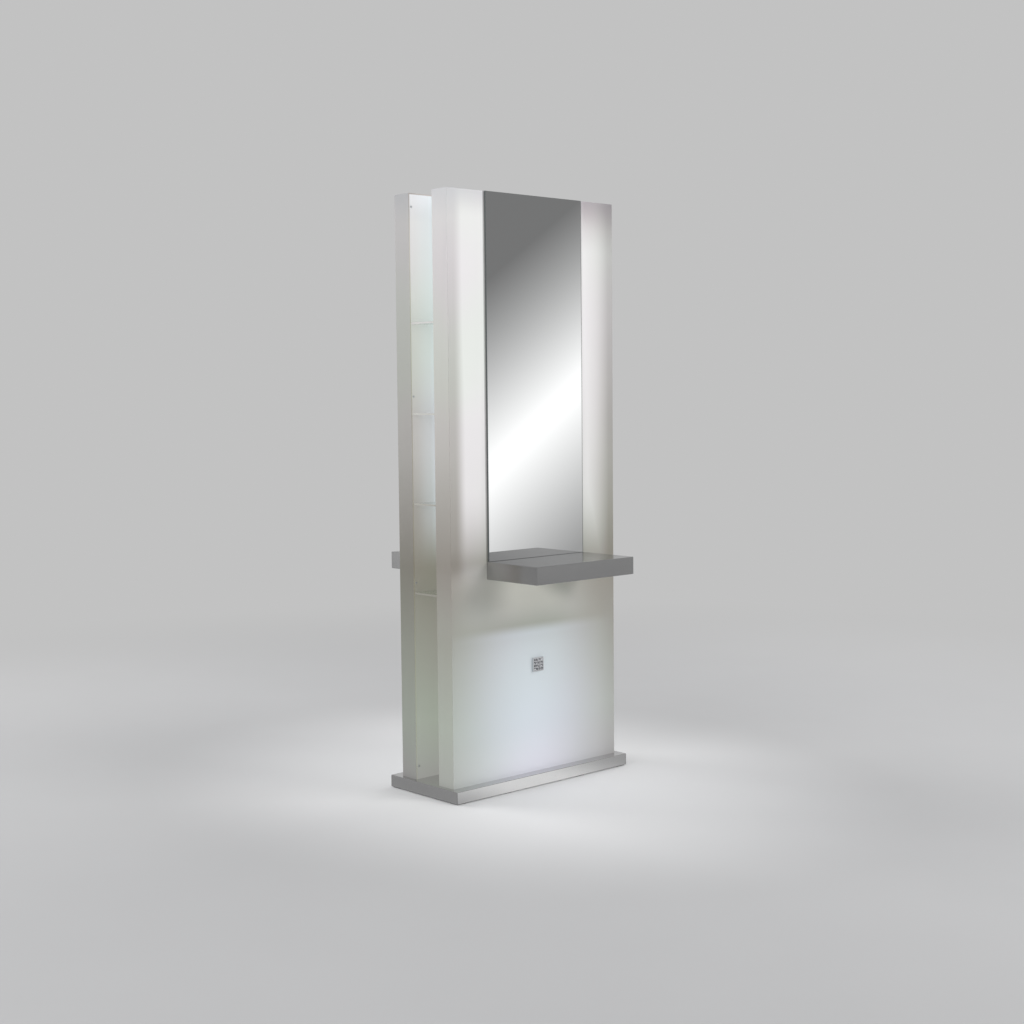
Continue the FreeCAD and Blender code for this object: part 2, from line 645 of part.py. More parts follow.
# ---- lamps and control gear -------------------------------------------------------------------
def lamp_tube(length):
    """A fluorescent tube along Z from z = 0, with two pins at each end."""
    pieces = [rod((0, 0, 0), Z_AXIS, TUBE_RADIUS, length)]
    for z, axis in ((0, -Z_AXIS), (length, Z_AXIS)):
        pieces += [prism((x, 0, z), axis, TUBE_PIN_RADIUS, TUBE_PIN_LENGTH, PIN_SIDES)
                   for x in around(0, TUBE_PIN_SPACING)]
    return join(pieces)


def lamp_holders(length):
    """The two sockets of a tube along Z, standing on its channel at -Y.

    The pins go in down a slot from the holder's tip, and the tube's quarter turn lays them across it.
    """
    tip = TUBE_STANDOFF - HOLDER_DEPTH
    slot_width = 2 * (TUBE_PIN_RADIUS + HOLDER_PIN_PLAY)
    slot_depth = TUBE_PIN_LENGTH + HOLDER_PIN_END_PLAY
    holders = []
    for z, outwards in ((0, -1), (length, 1)):
        block = box(around(0, HOLDER_WIDTH), (tip, TUBE_STANDOFF), (z, z + outwards * HOLDER_THICKNESS))
        tip_edges = [edge for edge in block.Edges
                     if edge.BoundBox.YMax < tip + NEAR and edge.BoundBox.XLength < NEAR]
        block = block.makeChamfer(HOLDER_BEVEL, tip_edges)
        reach = (z - outwards, z + outwards * slot_depth)
        way_in = box(around(0, slot_width), (tip - PAST, slot_width / 2), reach)
        across = box(around(0, TUBE_PIN_SPACING + slot_width), around(0, slot_width), reach)
        holders.append(block.cut([way_in, across]))
    return holders


def lamp_channel(length):
    """The folded channel behind a tube along Z, its flanges towards the frame."""
    reach = length / 2 + HOLDER_THICKNESS + CHANNEL_OVERHANG
    middle = length / 2
    z = (middle - reach, middle + reach)
    y = (TUBE_STANDOFF, TUBE_STANDOFF + CHANNEL_DEPTH)
    channel = box(around(0, CHANNEL_WIDTH), y, z)
    hollow = box(around(0, CHANNEL_WIDTH - 2 * CHANNEL_SHEET),
                 (TUBE_STANDOFF + CHANNEL_SHEET, TUBE_STANDOFF + CHANNEL_DEPTH + PAST),
                 (z[0] - PAST, z[1] + PAST))
    return channel.cut(hollow)


def place_side(shape, side):
    placed = shape.copy()
    placed.translate(FreeCAD.Vector(side * SIDE_TUBE_X, TUBE_AXIS, SIDE_TUBE_START))
    return placed


def place_low(shape):
    placed = shape.copy()
    placed.rotate(FreeCAD.Vector(0, 0, 0), Y_AXIS, 90)
    placed.translate(FreeCAD.Vector(-LOW_TUBE_LENGTH / 2, TUBE_AXIS, LOW_TUBE_Z))
    return placed


def lampholders():
    side_pair = lamp_holders(SIDE_TUBE_LENGTH)
    holders = [place_side(holder, side) for side in SIDES for holder in side_pair]
    return holders + [place_low(holder) for holder in lamp_holders(LOW_TUBE_LENGTH)]


def gear_tray():
    """A sheet across the posts, its long edges folded forward, for the ballasts and terminals."""
    y = (POST_FRONT - TRAY_LIP, POST_FRONT)
    tray = box((-TRAY_HALF_WIDTH, TRAY_HALF_WIDTH), y, TRAY_HEIGHTS)
    hollow = box((-TRAY_HALF_WIDTH - PAST, TRAY_HALF_WIDTH + PAST),
                 (POST_FRONT - TRAY_LIP - PAST, POST_FRONT - CHANNEL_SHEET),
                 (TRAY_HEIGHTS[0] + CHANNEL_SHEET, TRAY_HEIGHTS[1] - CHANNEL_SHEET))
    return tray.cut(hollow)


def ballast(size, height):
    length, width, depth = size
    back = POST_FRONT - CHANNEL_SHEET
    case = box(around(0, length), (back - depth, back), around(height, width))
    return case.makeChamfer(BALLAST_BEVEL, [edge for edge in case.Edges
                                            if edge.BoundBox.YMax < back - depth + NEAR])


def terminal_block():
    """A row of terminals for the supply: a wire well on each side of every way, and ribs between."""
    length, width, depth = TERMINAL_SIZE
    back = POST_FRONT - CHANNEL_SHEET
    block = box(around(0, length), (back - depth, back), around(TERMINAL_HEIGHT, width))
    pitch = length / TERMINAL_WAYS
    wells = []
    for way in range(TERMINAL_WAYS):
        x = -length / 2 + (way + 0.5) * pitch
        wells += [box(around(x, TERMINAL_WELL), (back - depth - PAST, back - depth + TERMINAL_WELL_DEPTH),
                      around(z, TERMINAL_WELL)) for z in around(TERMINAL_HEIGHT, width / 2)]
        if way < TERMINAL_WAYS - 1:
            wells.append(box(around(x + pitch / 2, TERMINAL_RIB_GAP),
                             (back - depth - PAST, back - depth + TERMINAL_RIB_DEPTH),
                             around(TERMINAL_HEIGHT, width + 2 * PAST)))
    return block.cut(wells)


# ---- badge ------------------------------------------------------------------------------------
def badge_plate():
    """A plain square block with a raised rim round its field of stones."""
    rim_front = FACE - BADGE_PLATE - BADGE_RIM_RISE
    field = BADGE_SIZE - 2 * BADGE_RIM
    block = box(around(0, BADGE_SIZE), (rim_front, FACE), around(BADGE_HEIGHT, BADGE_SIZE))
    recess = box(around(0, field), (rim_front - PAST, FACE - BADGE_PLATE), around(BADGE_HEIGHT, field))
    return block.cut(recess)


def badge_studs():
    """Square-cut stones in a plain grid, each bevelled from its girdle to a flat table."""
    field = BADGE_SIZE - 2 * BADGE_RIM
    pitch = field / STUD_COUNT
    seat = FACE - BADGE_PLATE
    table = seat - STUD_GIRDLE - STUD_BEVEL
    stones = []
    for column in range(STUD_COUNT):
        for row in range(STUD_COUNT):
            x = -field / 2 + (column + 0.5) * pitch
            z = BADGE_HEIGHT - field / 2 + (row + 0.5) * pitch
            stone = box(around(x, STUD_BASE), (table, seat), around(z, STUD_BASE))
            rim = [edge for edge in stone.Edges if edge.BoundBox.YMax < table + NEAR]
            stones.append(stone.makeChamfer(STUD_BEVEL, rim))
    return stones


# ---- shelves in the gap -------------------------------------------------------------------------
def gap_shelf(index):
    top = GAP_SHELF_LOWEST + index * GAP_SHELF_PITCH
    shelf = box(around(0, CASING_WIDTH - 2 * GAP_SHELF_SIDE_INSET), around(0, GAP - 2 * GAP_SHELF_PLAY),
                (top - GAP_SHELF_GLASS, top))
    return round_edges(shelf, GAP_SHELF_CORNER, lambda b: b.ZLength > GAP_SHELF_GLASS - NEAR)


def shelf_cleats():
    """Clear blocks bonded to the inner panel under each shelf, bevelled below."""
    cleats = []
    for index in range(GAP_SHELF_COUNT):
        top = GAP_SHELF_LOWEST + index * GAP_SHELF_PITCH - GAP_SHELF_GLASS
        for side in SIDES:
            cleat = box(around(side * CLEAT_X, CLEAT_LENGTH), (INNER_FACE, INNER_FACE + CLEAT_DEPTH),
                        (top - CLEAT_HEIGHT, top))
            lower_edge = [edge for edge in cleat.Edges
                          if edge.BoundBox.ZMax < top - CLEAT_HEIGHT + NEAR
                          and edge.BoundBox.YMin > INNER_FACE + CLEAT_DEPTH - NEAR]
            cleats.append(cleat.makeChamfer(CLEAT_BEVEL, lower_edge))
    return cleats


# ---- all the pieces -------------------------------------------------------------------------------
def main():
    os.makedirs(OUT, exist_ok=True)
    save("plinth_pan", plinth_pan())
    save("plinth_frame", plinth_frame())
    save("floor_pads", group(floor_pads()))
    save_group("cable_grommets", [cable_grommet()])

    save_sides("casing", casing())
    save_sides("inner_panel", inner_panel())
    save_group("panel_screws", panel_screws())
    save_sides("frame", light_box_frame())
    save_group("anchor_bolts", anchor_bolts())
    save_sides("carrier_board", carrier_board())
    save_group("board_bolts", board_bolts())

    save_sides("mirror", mirror())
    save_sides("mirror_tape", group(mirror_tape()))
    save_sides("badge_plate", badge_plate())
    save_sides("badge_studs", group(badge_studs()))

    save_sides("shelf_bracket", shelf_bracket())
    save_group("bracket_bolts", bracket_bolts())
    save_sides("shelf_shell", shelf_shell())
    save_group("saddle_screws", saddle_screws())
    save_sides("shelf_underplate", underplate())
    save_group("underplate_screws", plate_screws())
    save_sides("switch_housing", switch_housing())
    save_sides("switch_rocker", switch_rocker())

    tube = lamp_tube(SIDE_TUBE_LENGTH)
    save_sides("left_tube", place_side(tube, -1))
    save_sides("right_tube", place_side(tube, 1))
    save_sides("lower_tube", place_low(lamp_tube(LOW_TUBE_LENGTH)))
    channel = lamp_channel(SIDE_TUBE_LENGTH)
    save_sides("side_channels", group([place_side(channel, side) for side in SIDES]))
    save_sides("lower_channel", place_low(lamp_channel(LOW_TUBE_LENGTH)))
    save_sides("lampholders", group(lampholders()))
    save_sides("gear_tray", gear_tray())
    save_sides("ballasts", group([ballast(size, z) for size, z in zip(BALLAST_SIZES, BALLAST_HEIGHTS)]))
    save_sides("terminal_block", terminal_block())

    for index in range(GAP_SHELF_COUNT):
        save("gap_shelf_%d" % (index + 1), gap_shelf(index))
    save_group("shelf_cleats", shelf_cleats())


main()
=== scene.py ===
import bpy
import bmesh
import math
from mathutils import Matrix, Vector


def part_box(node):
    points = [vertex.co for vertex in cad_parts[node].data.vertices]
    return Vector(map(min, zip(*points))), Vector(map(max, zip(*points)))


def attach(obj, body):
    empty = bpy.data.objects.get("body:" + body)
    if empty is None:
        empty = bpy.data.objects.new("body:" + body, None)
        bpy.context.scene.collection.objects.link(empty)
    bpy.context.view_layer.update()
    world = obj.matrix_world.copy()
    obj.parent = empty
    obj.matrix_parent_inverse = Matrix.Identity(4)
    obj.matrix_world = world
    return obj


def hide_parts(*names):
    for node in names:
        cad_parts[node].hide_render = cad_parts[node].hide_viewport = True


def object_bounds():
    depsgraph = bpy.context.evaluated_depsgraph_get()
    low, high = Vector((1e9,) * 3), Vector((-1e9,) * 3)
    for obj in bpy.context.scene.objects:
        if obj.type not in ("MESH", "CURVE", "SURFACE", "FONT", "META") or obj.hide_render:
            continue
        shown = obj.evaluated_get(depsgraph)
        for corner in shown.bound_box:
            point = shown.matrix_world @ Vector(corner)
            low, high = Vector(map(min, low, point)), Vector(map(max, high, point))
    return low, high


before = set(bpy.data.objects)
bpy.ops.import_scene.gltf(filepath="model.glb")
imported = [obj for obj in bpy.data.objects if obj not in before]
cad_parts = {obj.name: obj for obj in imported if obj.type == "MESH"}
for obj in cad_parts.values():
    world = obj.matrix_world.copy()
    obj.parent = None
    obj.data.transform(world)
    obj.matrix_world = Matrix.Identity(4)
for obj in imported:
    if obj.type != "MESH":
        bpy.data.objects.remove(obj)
cad_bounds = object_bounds()

# The looks of a double-sided salon station: two opal light boxes back to back on a polished plinth.
# Metres, in the frame's axes. The front mirror faces -Y, and the rear side is the front side turned
# by half a turn.
# In the materials, across runs along a side's width, to the right of someone who faces that side.
# A constant that holds a fade gives its start and end, and the levels there if they aren't 0 and 1.

# ---- the view -----------------------------------------------------------------------------------
CAMERA_PLACE = Vector((-3.832, -4.199, 1.403))
CAMERA_AZIMUTH = math.radians(42.484)
CAMERA_PITCH = math.radians(-4.296)
CAMERA_ROLL = math.radians(-0.541)
CAMERA_LENS = 54.98

# ---- places read from the frame -----------------------------------------------------------------
HEIGHT = cad_bounds[1].z
INNER_FACE = abs(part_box("front_casing")[1].y)
MIRROR_LOW, MIRROR_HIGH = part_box("front_mirror")
SHELF_LOW, SHELF_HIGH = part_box("front_shelf_shell")
PLINTH_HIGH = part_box("plinth_pan")[1]
SIDES = ("front", "rear")


def tone(red, green, blue):
    """The linear colour of a display colour given by its 0 to 255 values."""
    values = [((value / 255 + 0.055) / 1.055) ** 2.4 for value in (red, green, blue)]
    return (*values, 1.0)


def grey(value):
    return (value, value, value, 1.0)


def put_in_scene(thing):
    bpy.context.scene.collection.objects.link(thing)


def mesh_object(name, shape):
    """Turns the bmesh into an object of the scene."""
    mesh = bpy.data.meshes.new(name)
    shape.to_mesh(mesh)
    shape.free()
    made = bpy.data.objects.new(name, mesh)
    put_in_scene(made)
    return made


# ---- node trees ---------------------------------------------------------------------------------
HALF_FACING = 0.5


class Nodes:
    """A node tree, with a short call for each kind of node that the materials use."""

    def __init__(self, tree):
        self.tree = tree
        tree.nodes.clear()

    def put(self, socket, value):
        if isinstance(value, bpy.types.NodeSocket):
            self.tree.links.new(value, socket)
        else:
            socket.default_value = value

    def add(self, kind, sockets, **settings):
        node = self.tree.nodes.new("ShaderNode" + kind)
        for name, value in settings.items():
            setattr(node, name, value)
        for name, value in sockets.items():
            self.put(node.inputs[name], value)
        return node

    def math(self, operation, first, second=0.0):
        return self.add("Math", {0: first, 1: second}, operation=operation).outputs[0]

    def times(self, *values):
        product = values[0]
        for value in values[1:]:
            product = self.math("MULTIPLY", product, value)
        return product

    def unsigned(self, value):
        return self.math("ABSOLUTE", value)

    def length(self, first, second):
        """The length of the vector that has these two parts."""
        squares = self.math("ADD", self.times(first, first), self.times(second, second))
        return self.math("SQRT", squares)

    def fade(self, value, start, end, low=0.0, high=1.0, shape="SMOOTHSTEP"):
        """Goes from low to high as value goes from start to end, and is level outside them."""
        ends = {"Value": value, "From Min": start, "From Max": end, "To Min": low, "To Max": high}
        return self.add("MapRange", ends, interpolation_type=shape).outputs["Result"]

    def fades(self, *parts):
        """The product of fades, each given as its value and its constant."""
        return self.times(*[self.fade(value, *ends) for value, ends in parts])

    def by_noise(self, noise, low, high):
        """Goes from low to high over most of a noise's range."""
        return self.fade(noise, 0.3, 0.7, low, high)

    def mix(self, share, first, second, blend="MIX"):
        node = self.add("Mix", {}, data_type="RGBA", blend_type=blend)
        for index, value in ((0, share), (6, first), (7, second)):
            self.put(node.inputs[index], value)
        return node.outputs[2]

    def multiplied(self, colour, factor):
        return self.mix(1.0, colour, factor, "MULTIPLY")

    def multiplied_where(self, share, colour, factor):
        """The colour, multiplied by the factor where share is 1."""
        return self.mix(share, colour, self.multiplied(colour, factor))

    def level(self, share, first, second):
        """The number between first and second."""
        node = self.add("Mix", {}, data_type="FLOAT")
        for index, value in ((0, share), (2, first), (3, second)):
            self.put(node.inputs[index], value)
        return node.outputs[0]

    def ramp(self, value, stops):
        """The colour at value along (place, colour) stops, which are in order from 0 to 1."""
        node = self.add("ValToRGB", {"Fac": value})
        elements = node.color_ramp.elements
        for index, (place, colour) in enumerate(stops):
            element = elements[index] if index < 2 else elements.new(place)
            element.position = place
            element.color = colour
        return node.outputs["Color"]

    def place(self):
        """The three coordinates in the frame's axes, and the vector they make."""
        vector = self.add("TexCoord", {}).outputs["Object"]
        return (*self.add("SeparateXYZ", {0: vector}).outputs, vector)

    def across(self, x, y):
        return self.times(x, self.math("SIGN", y), -1.0)

    def squareness(self, axis):
        """How squarely, from 0 to 1, the surface faces along X, Y or Z (0, 1 or 2)."""
        normal = self.add("NewGeometry", {}).outputs["True Normal"]
        return self.unsigned(self.add("SeparateXYZ", {0: normal}).outputs[axis])

    def facing(self, axis, least=HALF_FACING):
        """1 where the surface faces along the axis, and otherwise 0."""
        return self.math("GREATER_THAN", self.squareness(axis), least)

    def stretched(self, vector, x=1.0, y=1.0, z=1.0):
        return self.add("Mapping", {"Vector": vector, "Scale": (x, y, z)}).outputs[0]

    def noise(self, vector, scale, detail=2.0, roughness=0.5):
        sockets = {"Vector": vector, "Scale": scale, "Detail": detail, "Roughness": roughness}
        return self.add("TexNoise", sockets).outputs["Fac"]

    def bump(self, height, depth):
        sockets = {"Height": height, "Distance": depth, "Strength": 1.0}
        return self.add("Bump", sockets).outputs["Normal"]

    def principled(self, **sockets):
        """A Principled shader. An underscore in a socket's name is a space."""
        named = {name.replace("_", " "): value for name, value in sockets.items()}
        return self.add("BsdfPrincipled", named).outputs[0]

    def emission(self, colour, strength=1.0):
        return self.add("Emission", {"Color": colour, "Strength": strength}).outputs[0]

    def mixed_shader(self, share, first, second):
        return self.add("MixShader", {0: share, 1: first, 2: second}).outputs[0]

    def end(self, shader, kind="OutputMaterial"):
        self.add(kind, {"Surface": shader})

    def surface(self, **sockets):
        """The Principled shader as the surface."""
        self.end(self.principled(**sockets))


def material(name):
    made = bpy.data.materials.new(name)
    made.use_nodes = True
    return made, Nodes(made.node_tree)


# ---- opal acrylic -------------------------------------------------------------------------------
# the painted light and shade of the lamps inside the boxes, as a colour by height
OPAL_LIGHT_BY_HEIGHT = ((0.05, tone(164, 164, 161)), (0.25, tone(166, 170, 162)),
                (0.80, tone(143, 140, 130)), (1.20, tone(183, 183, 176)),
                (2.00, tone(217, 216, 215)), (2.10, tone(208, 208, 211)))
TINT_FADE = (0.35, 0.65)
GREEN_WHITE = tone(252, 255, 251)
PINK_WHITE = tone(255, 251, 254)
SHELL_GLOW = 0.30
PANEL_GLOW = 0.60

# painted shade on the casings' far side, away from the key lamp
FAR_SIDE = 0.74
FAR_SIDE_START = (0.29, 0.40)
FAR_FACE_RISE = (0.95, 1.35, 0.35, 1.0)

# the light from the floor, on faces and sides
FRONT_LIFT = 1.17
FRONT_LIFT_TOP = (0.82, 0.74)
LOW_SIDE_LIFT = 1.12
LOW_SIDE_LIFT_TOP = (0.85, 0.40)

# a painted shadow line where the mirror's edge stands on the face, from the mirror's edge outwards
MIRROR_EDGE_SHADOW = 0.55
MIRROR_EDGE_SHADOW_REACH = (0.010, 0.004)

# the sides' cut edges beside the inner panel, which gather light
SHEET_EDGE = tone(292, 290, 276)
SHEET_EDGE_ROOM = 0.001

# the upright lamps beside the mirror
LAMP_WHITE = tone(241, 242, 240)
LEFT_LAMP_OUTER = (-0.378, -0.322)
LEFT_LAMP_INNER = (-0.275, -0.230, 1.0, 0.86)
LEFT_LAMP_FOOT = (0.70, 1.10, 0.0, 0.89)
RIGHT_LAMP_OUTER = (0.250, 0.375, 0.90, 0.0, "LINEAR")
RIGHT_LAMP_FOOT = (0.64, 1.00, 0.0, 0.97)
RIGHT_LAMP_HEAD = (1.30, 1.70, 1.0, 0.86)
LAMPS_RISE = (1.10, 1.70, 1.0, 1.16)
LAMPS_HEAD = (2.00, HEIGHT, 1.0, 0.25)
# painted shade, pinkish, high on the face's right side
TOP_CORNER = tone(214, 206, 209)
TOP_CORNER_START = (0.20, 0.26)
TOP_CORNER_RISE = (1.90, HEIGHT)

# the low lamp, shaded above by the edge of the board behind the shelf
LOW_LAMP_WHITE = tone(218, 224, 233)
LOW_LAMP_ACROSS = -0.03
LOW_LAMP_REACH = 0.50
LOW_LAMP_UP = (0.22, 1.12, 0.0, 1.0, "LINEAR")
FLOOR_WHITE = tone(225, 229, 236)
FLOOR_WHITE_TOP = (0.25, 0.06)
BAND_EDGE = 0.568
BAND_EDGE_HALF = 0.022

# the light that the steel throws back under the shelf
BAND_LIFT = tone(287, 289, 297)
BAND_RIGHT = (0.34, 0.14)
BAND_LEFT = (-0.45, -0.28)
BAND_FOOT = (0.53, 0.64)
BAND_HEAD = (0.83, 0.78)
UNDER_SHELF = tone(232, 229, 222)
UNDER_SHELF_SHARE = 0.94
UNDER_SHELF_LEAN = (0.66, 0.76, 0.02, 0.09, "LINEAR")
UNDER_SHELF_SPREAD = (0.76, 0.64, 0.0, 0.08, "LINEAR")
UNDER_SHELF_REACH = (0.16, 0.00)
UNDER_SHELF_FOOT = (0.58, 0.72)
UNDER_SHELF_HEAD = (0.83, 0.80)

# the inner panels, with the painted glow of the lamps behind them
PANEL_WHITE = tone(210, 219, 222)
PANEL_OUTER = (0.395, 0.31)
PANEL_MIDDLE = (0.10, 0.25, 0.4, 1.0)
PANEL_FOOT = (0.76, 1.03)
PANEL_LAMP = (0.320, 0.285, 0.45, 0.80)


def opal_levels(nodes):
    """What the light boxes' materials share: across, height, place and the colour by height, which
    is painted lamp light and shade.
    """
    x, y, z, vector = nodes.place()
    across = nodes.across(x, y)
    share = nodes.math("DIVIDE", z, HEIGHT)
    colour = nodes.ramp(share, [(height / HEIGHT, level) for height, level in OPAL_LIGHT_BY_HEIGHT])
    return across, z, vector, colour


def opal_tint(nodes, vector, colour):
    """Slow drifts between a green and a pink white, as in cast sheet lit from behind."""
    drift = nodes.noise(vector, scale=1.7, detail=1.0)
    tint = nodes.mix(nodes.fade(drift, *TINT_FADE), GREEN_WHITE, PINK_WHITE)
    return nodes.multiplied(colour, tint)


def opal_surface(nodes, vector, colour, glow):
    """The sheet's surface. The painted share leaves room for the shell's glow on both materials."""
    ripple = nodes.noise(vector, scale=9.0, detail=1.0)
    nodes.surface(
        Base_Color=nodes.multiplied(colour, grey(1 - SHELL_GLOW)),
        Emission_Color=colour, Emission_Strength=glow,
        Roughness=nodes.by_noise(nodes.noise(vector, scale=60.0, detail=3.0), 0.16, 0.22),
        Normal=nodes.bump(ripple, depth=0.0012),
    )


def upright_lamps(nodes, colour, across, z, on_face):
    left = nodes.fades((across, LEFT_LAMP_OUTER), (across, LEFT_LAMP_INNER), (z, LEFT_LAMP_FOOT))
    right = nodes.fades((across, RIGHT_LAMP_OUTER), (z, RIGHT_LAMP_FOOT), (z, RIGHT_LAMP_HEAD))
    upright = nodes.math("MINIMUM", left, right)
    reach = nodes.fades((z, LAMPS_RISE), (z, LAMPS_HEAD))
    colour = nodes.mix(nodes.times(upright, reach), colour, LAMP_WHITE)
    # painted shade high on the face's right side
    corner = nodes.times(nodes.fades((across, TOP_CORNER_START), (z, TOP_CORNER_RISE)), on_face)
    return nodes.multiplied_where(corner, colour, TOP_CORNER)


def low_lamp(nodes, colour, across, z, on_face):
    sideways = nodes.math("DIVIDE", nodes.math("ADD", across, -LOW_LAMP_ACROSS), LOW_LAMP_REACH)
    distance = nodes.length(sideways, nodes.fade(z, *LOW_LAMP_UP))
    below_board = (BAND_EDGE + BAND_EDGE_HALF, BAND_EDGE - BAND_EDGE_HALF)
    share = nodes.times(nodes.fades((distance, (1.0, 0.0)), (z, below_board)), on_face)
    white = nodes.mix(nodes.fade(z, *FLOOR_WHITE_TOP), LOW_LAMP_WHITE, FLOOR_WHITE)
    return nodes.mix(share, colour, white)


def under_shelf(nodes, colour, across, z):
    band = nodes.fades((across, BAND_RIGHT), (across, BAND_LEFT), (z, BAND_FOOT), (z, BAND_HEAD))
    colour = nodes.multiplied_where(band, colour, BAND_LIFT)
    from_glow = nodes.unsigned(nodes.math("ADD", across, nodes.fade(z, *UNDER_SHELF_LEAN)))
    spread = nodes.math("SUBTRACT", from_glow, nodes.fade(z, *UNDER_SHELF_SPREAD))
    glow = nodes.fades((spread, UNDER_SHELF_REACH), (z, UNDER_SHELF_FOOT), (z, UNDER_SHELF_HEAD))
    return nodes.mix(nodes.times(glow, UNDER_SHELF_SHARE), colour, UNDER_SHELF)


def opal_shell():
    """The boxes' faces, sides and tops, with the light of the lamps behind them."""
    made, nodes = material("opal_shell")
    across, z, vector, colour = opal_levels(nodes)
    on_side, on_face = nodes.facing(0), nodes.facing(1)
    # painted shade on the far side, growing with height on the face
    shaded = nodes.math("MAXIMUM", on_side, nodes.fade(z, *FAR_FACE_RISE))
    far_side = nodes.times(nodes.fade(across, *FAR_SIDE_START), shaded)
    colour = nodes.multiplied_where(far_side, colour, grey(FAR_SIDE))
    lifted = nodes.times(on_face, nodes.fade(z, *FRONT_LIFT_TOP))
    colour = nodes.multiplied_where(lifted, colour, grey(FRONT_LIFT))
    lifted = nodes.times(on_side, nodes.fade(z, *LOW_SIDE_LIFT_TOP))
    colour = nodes.multiplied_where(lifted, colour, grey(LOW_SIDE_LIFT))

    # a painted shadow line just outside the mirror's left and right edges, above the shelf
    from_middle = nodes.unsigned(across)
    start, end = (MIRROR_HIGH.x + reach for reach in MIRROR_EDGE_SHADOW_REACH)
    above_shelf = nodes.math("GREATER_THAN", z, MIRROR_LOW.z)
    line = nodes.times(nodes.fade(from_middle, start, end), above_shelf, on_face)

    from_gap = nodes.unsigned(nodes.place()[1])
    inner = nodes.math("LESS_THAN", from_gap, INNER_FACE + SHEET_EDGE_ROOM)
    colour = nodes.multiplied_where(nodes.times(on_face, inner), colour, SHEET_EDGE)

    colour = upright_lamps(nodes, colour, across, z, on_face)
    colour = nodes.multiplied_where(line, colour, grey(MIRROR_EDGE_SHADOW))
    colour = low_lamp(nodes, colour, across, z, on_face)
    colour = under_shelf(nodes, colour, across, z)
    opal_surface(nodes, vector, opal_tint(nodes, vector, colour), SHELL_GLOW)
    return made


def opal_panel():
    """The boxes' inner panels, which light the gap."""
    made, nodes = material("opal_panel")
    across, z, vector, colour = opal_levels(nodes)
    from_middle = nodes.unsigned(across)
    # painted glow of the lamps behind the panel
    lamps = nodes.fades((from_middle, PANEL_OUTER), (from_middle, PANEL_MIDDLE), (z, PANEL_FOOT),
                        (from_middle, PANEL_LAMP))
    colour = nodes.mix(lamps, colour, PANEL_WHITE)
    opal_surface(nodes, vector, opal_tint(nodes, vector, colour), PANEL_GLOW)
    return made


# ---- metals -------------------------------------------------------------------------------------
PLINTH_GREYS = (grey(0.64), grey(0.69))
# painted shade: the plinth's ends darker than its front and back, and a darker grey along its top
# folds
END_WALL_SHADE = 0.74
PLINTH_FOLD = 0.003
FOLD_SHADE_GREY = grey(0.46)
PLINTH_SEAM = (0.0030, 0.0015)
PLINTH_SEAM_GREY = grey(0.40)
PLINTH_SMEAR_ROUGHNESS = 0.04
SHELF_GREYS = (grey(0.33), grey(0.36))
# painted shading of the shelves: a little lighter on top and underneath, the front darker towards
# its left, the ends lighter towards the casing
SHELF_TOP_PAINTED_SHADING = 1.06
SHELF_FRONT_PAINTED_SHADING = (0.74, 1.06, "LINEAR")
SHELF_END_PAINTED_SHADING = (0.98, 1.45, "LINEAR")


def polished_steel():
    """The plinth cover: polished sheet with faint rubbing marks, with painted shade along its top
    folds and on its ends.
    """
    made, nodes = material("polished_steel")
    x, y, z, vector = nodes.place()
    marks = nodes.noise(nodes.stretched(vector, 3.0, 3.0, 160.0), scale=12.0, detail=4.0)
    smears = nodes.noise(vector, scale=14.0, detail=3.0)
    reaches = ((x, PLINTH_HIGH.x), (y, PLINTH_HIGH.y))
    near_edge = nodes.math("MAXIMUM", *[nodes.fade(nodes.unsigned(part), high - PLINTH_FOLD, high)
                                        for part, high in reaches])
    # painted shade along the top folds
    fold = nodes.times(near_edge, nodes.fade(z, PLINTH_HIGH.z - PLINTH_FOLD, PLINTH_HIGH.z))
    on_wall = nodes.math("LESS_THAN", nodes.squareness(2), HALF_FACING)
    colour = nodes.mix(smears, *PLINTH_GREYS)
    # painted shade on the ends
    colour = nodes.multiplied_where(nodes.facing(0), colour, grey(END_WALL_SHADE))
    # the ground seam of each mitred corner
    off_seam = nodes.math("MAXIMUM", *[nodes.math("SUBTRACT", high, nodes.unsigned(part))
                                       for part, high in reaches])
    seam = nodes.times(on_wall, nodes.fade(off_seam, *PLINTH_SEAM))
    colour = nodes.mix(seam, colour, PLINTH_SEAM_GREY)
    nodes.surface(
        Base_Color=nodes.mix(fold, colour, FOLD_SHADE_GREY), Metallic=1.0,
        Roughness=nodes.math("ADD", nodes.by_noise(marks, 0.06, 0.13),
                             nodes.times(smears, PLINTH_SMEAR_ROUGHNESS)),
        Normal=nodes.bump(nodes.noise(vector, scale=5.0, detail=1.0), depth=0.0004),
    )
    return made


def satin_steel():
    """The shelves: fine-ground steel under a thin silver lacquer, calmer than bare metal, with
    painted shading.
    """
    made, nodes = material("satin_steel")
    x, y, _, vector = nodes.place()
    lines = nodes.noise(nodes.stretched(vector, 6.0, 420.0, 420.0), scale=9.0, detail=3.0,
                        roughness=0.6)
    clouds = nodes.noise(vector, scale=6.0)
    # painted shading: the front darker to its left, the ends lighter towards the casing
    along = nodes.fade(nodes.across(x, y), SHELF_LOW.x, SHELF_HIGH.x, *SHELF_FRONT_PAINTED_SHADING)
    inwards = nodes.fade(nodes.unsigned(y), -SHELF_LOW.y, -SHELF_HIGH.y, *SHELF_END_PAINTED_SHADING)
    off_front = nodes.level(nodes.facing(0), SHELF_TOP_PAINTED_SHADING, inwards)
    shade = nodes.level(nodes.facing(1), off_front, along)
    nodes.surface(
        Base_Color=nodes.multiplied(nodes.mix(clouds, *SHELF_GREYS), shade), Metallic=0.9,
        Roughness=nodes.by_noise(lines, 0.17, 0.21), Normal=nodes.bump(lines, depth=0.000012),
    )
    return made


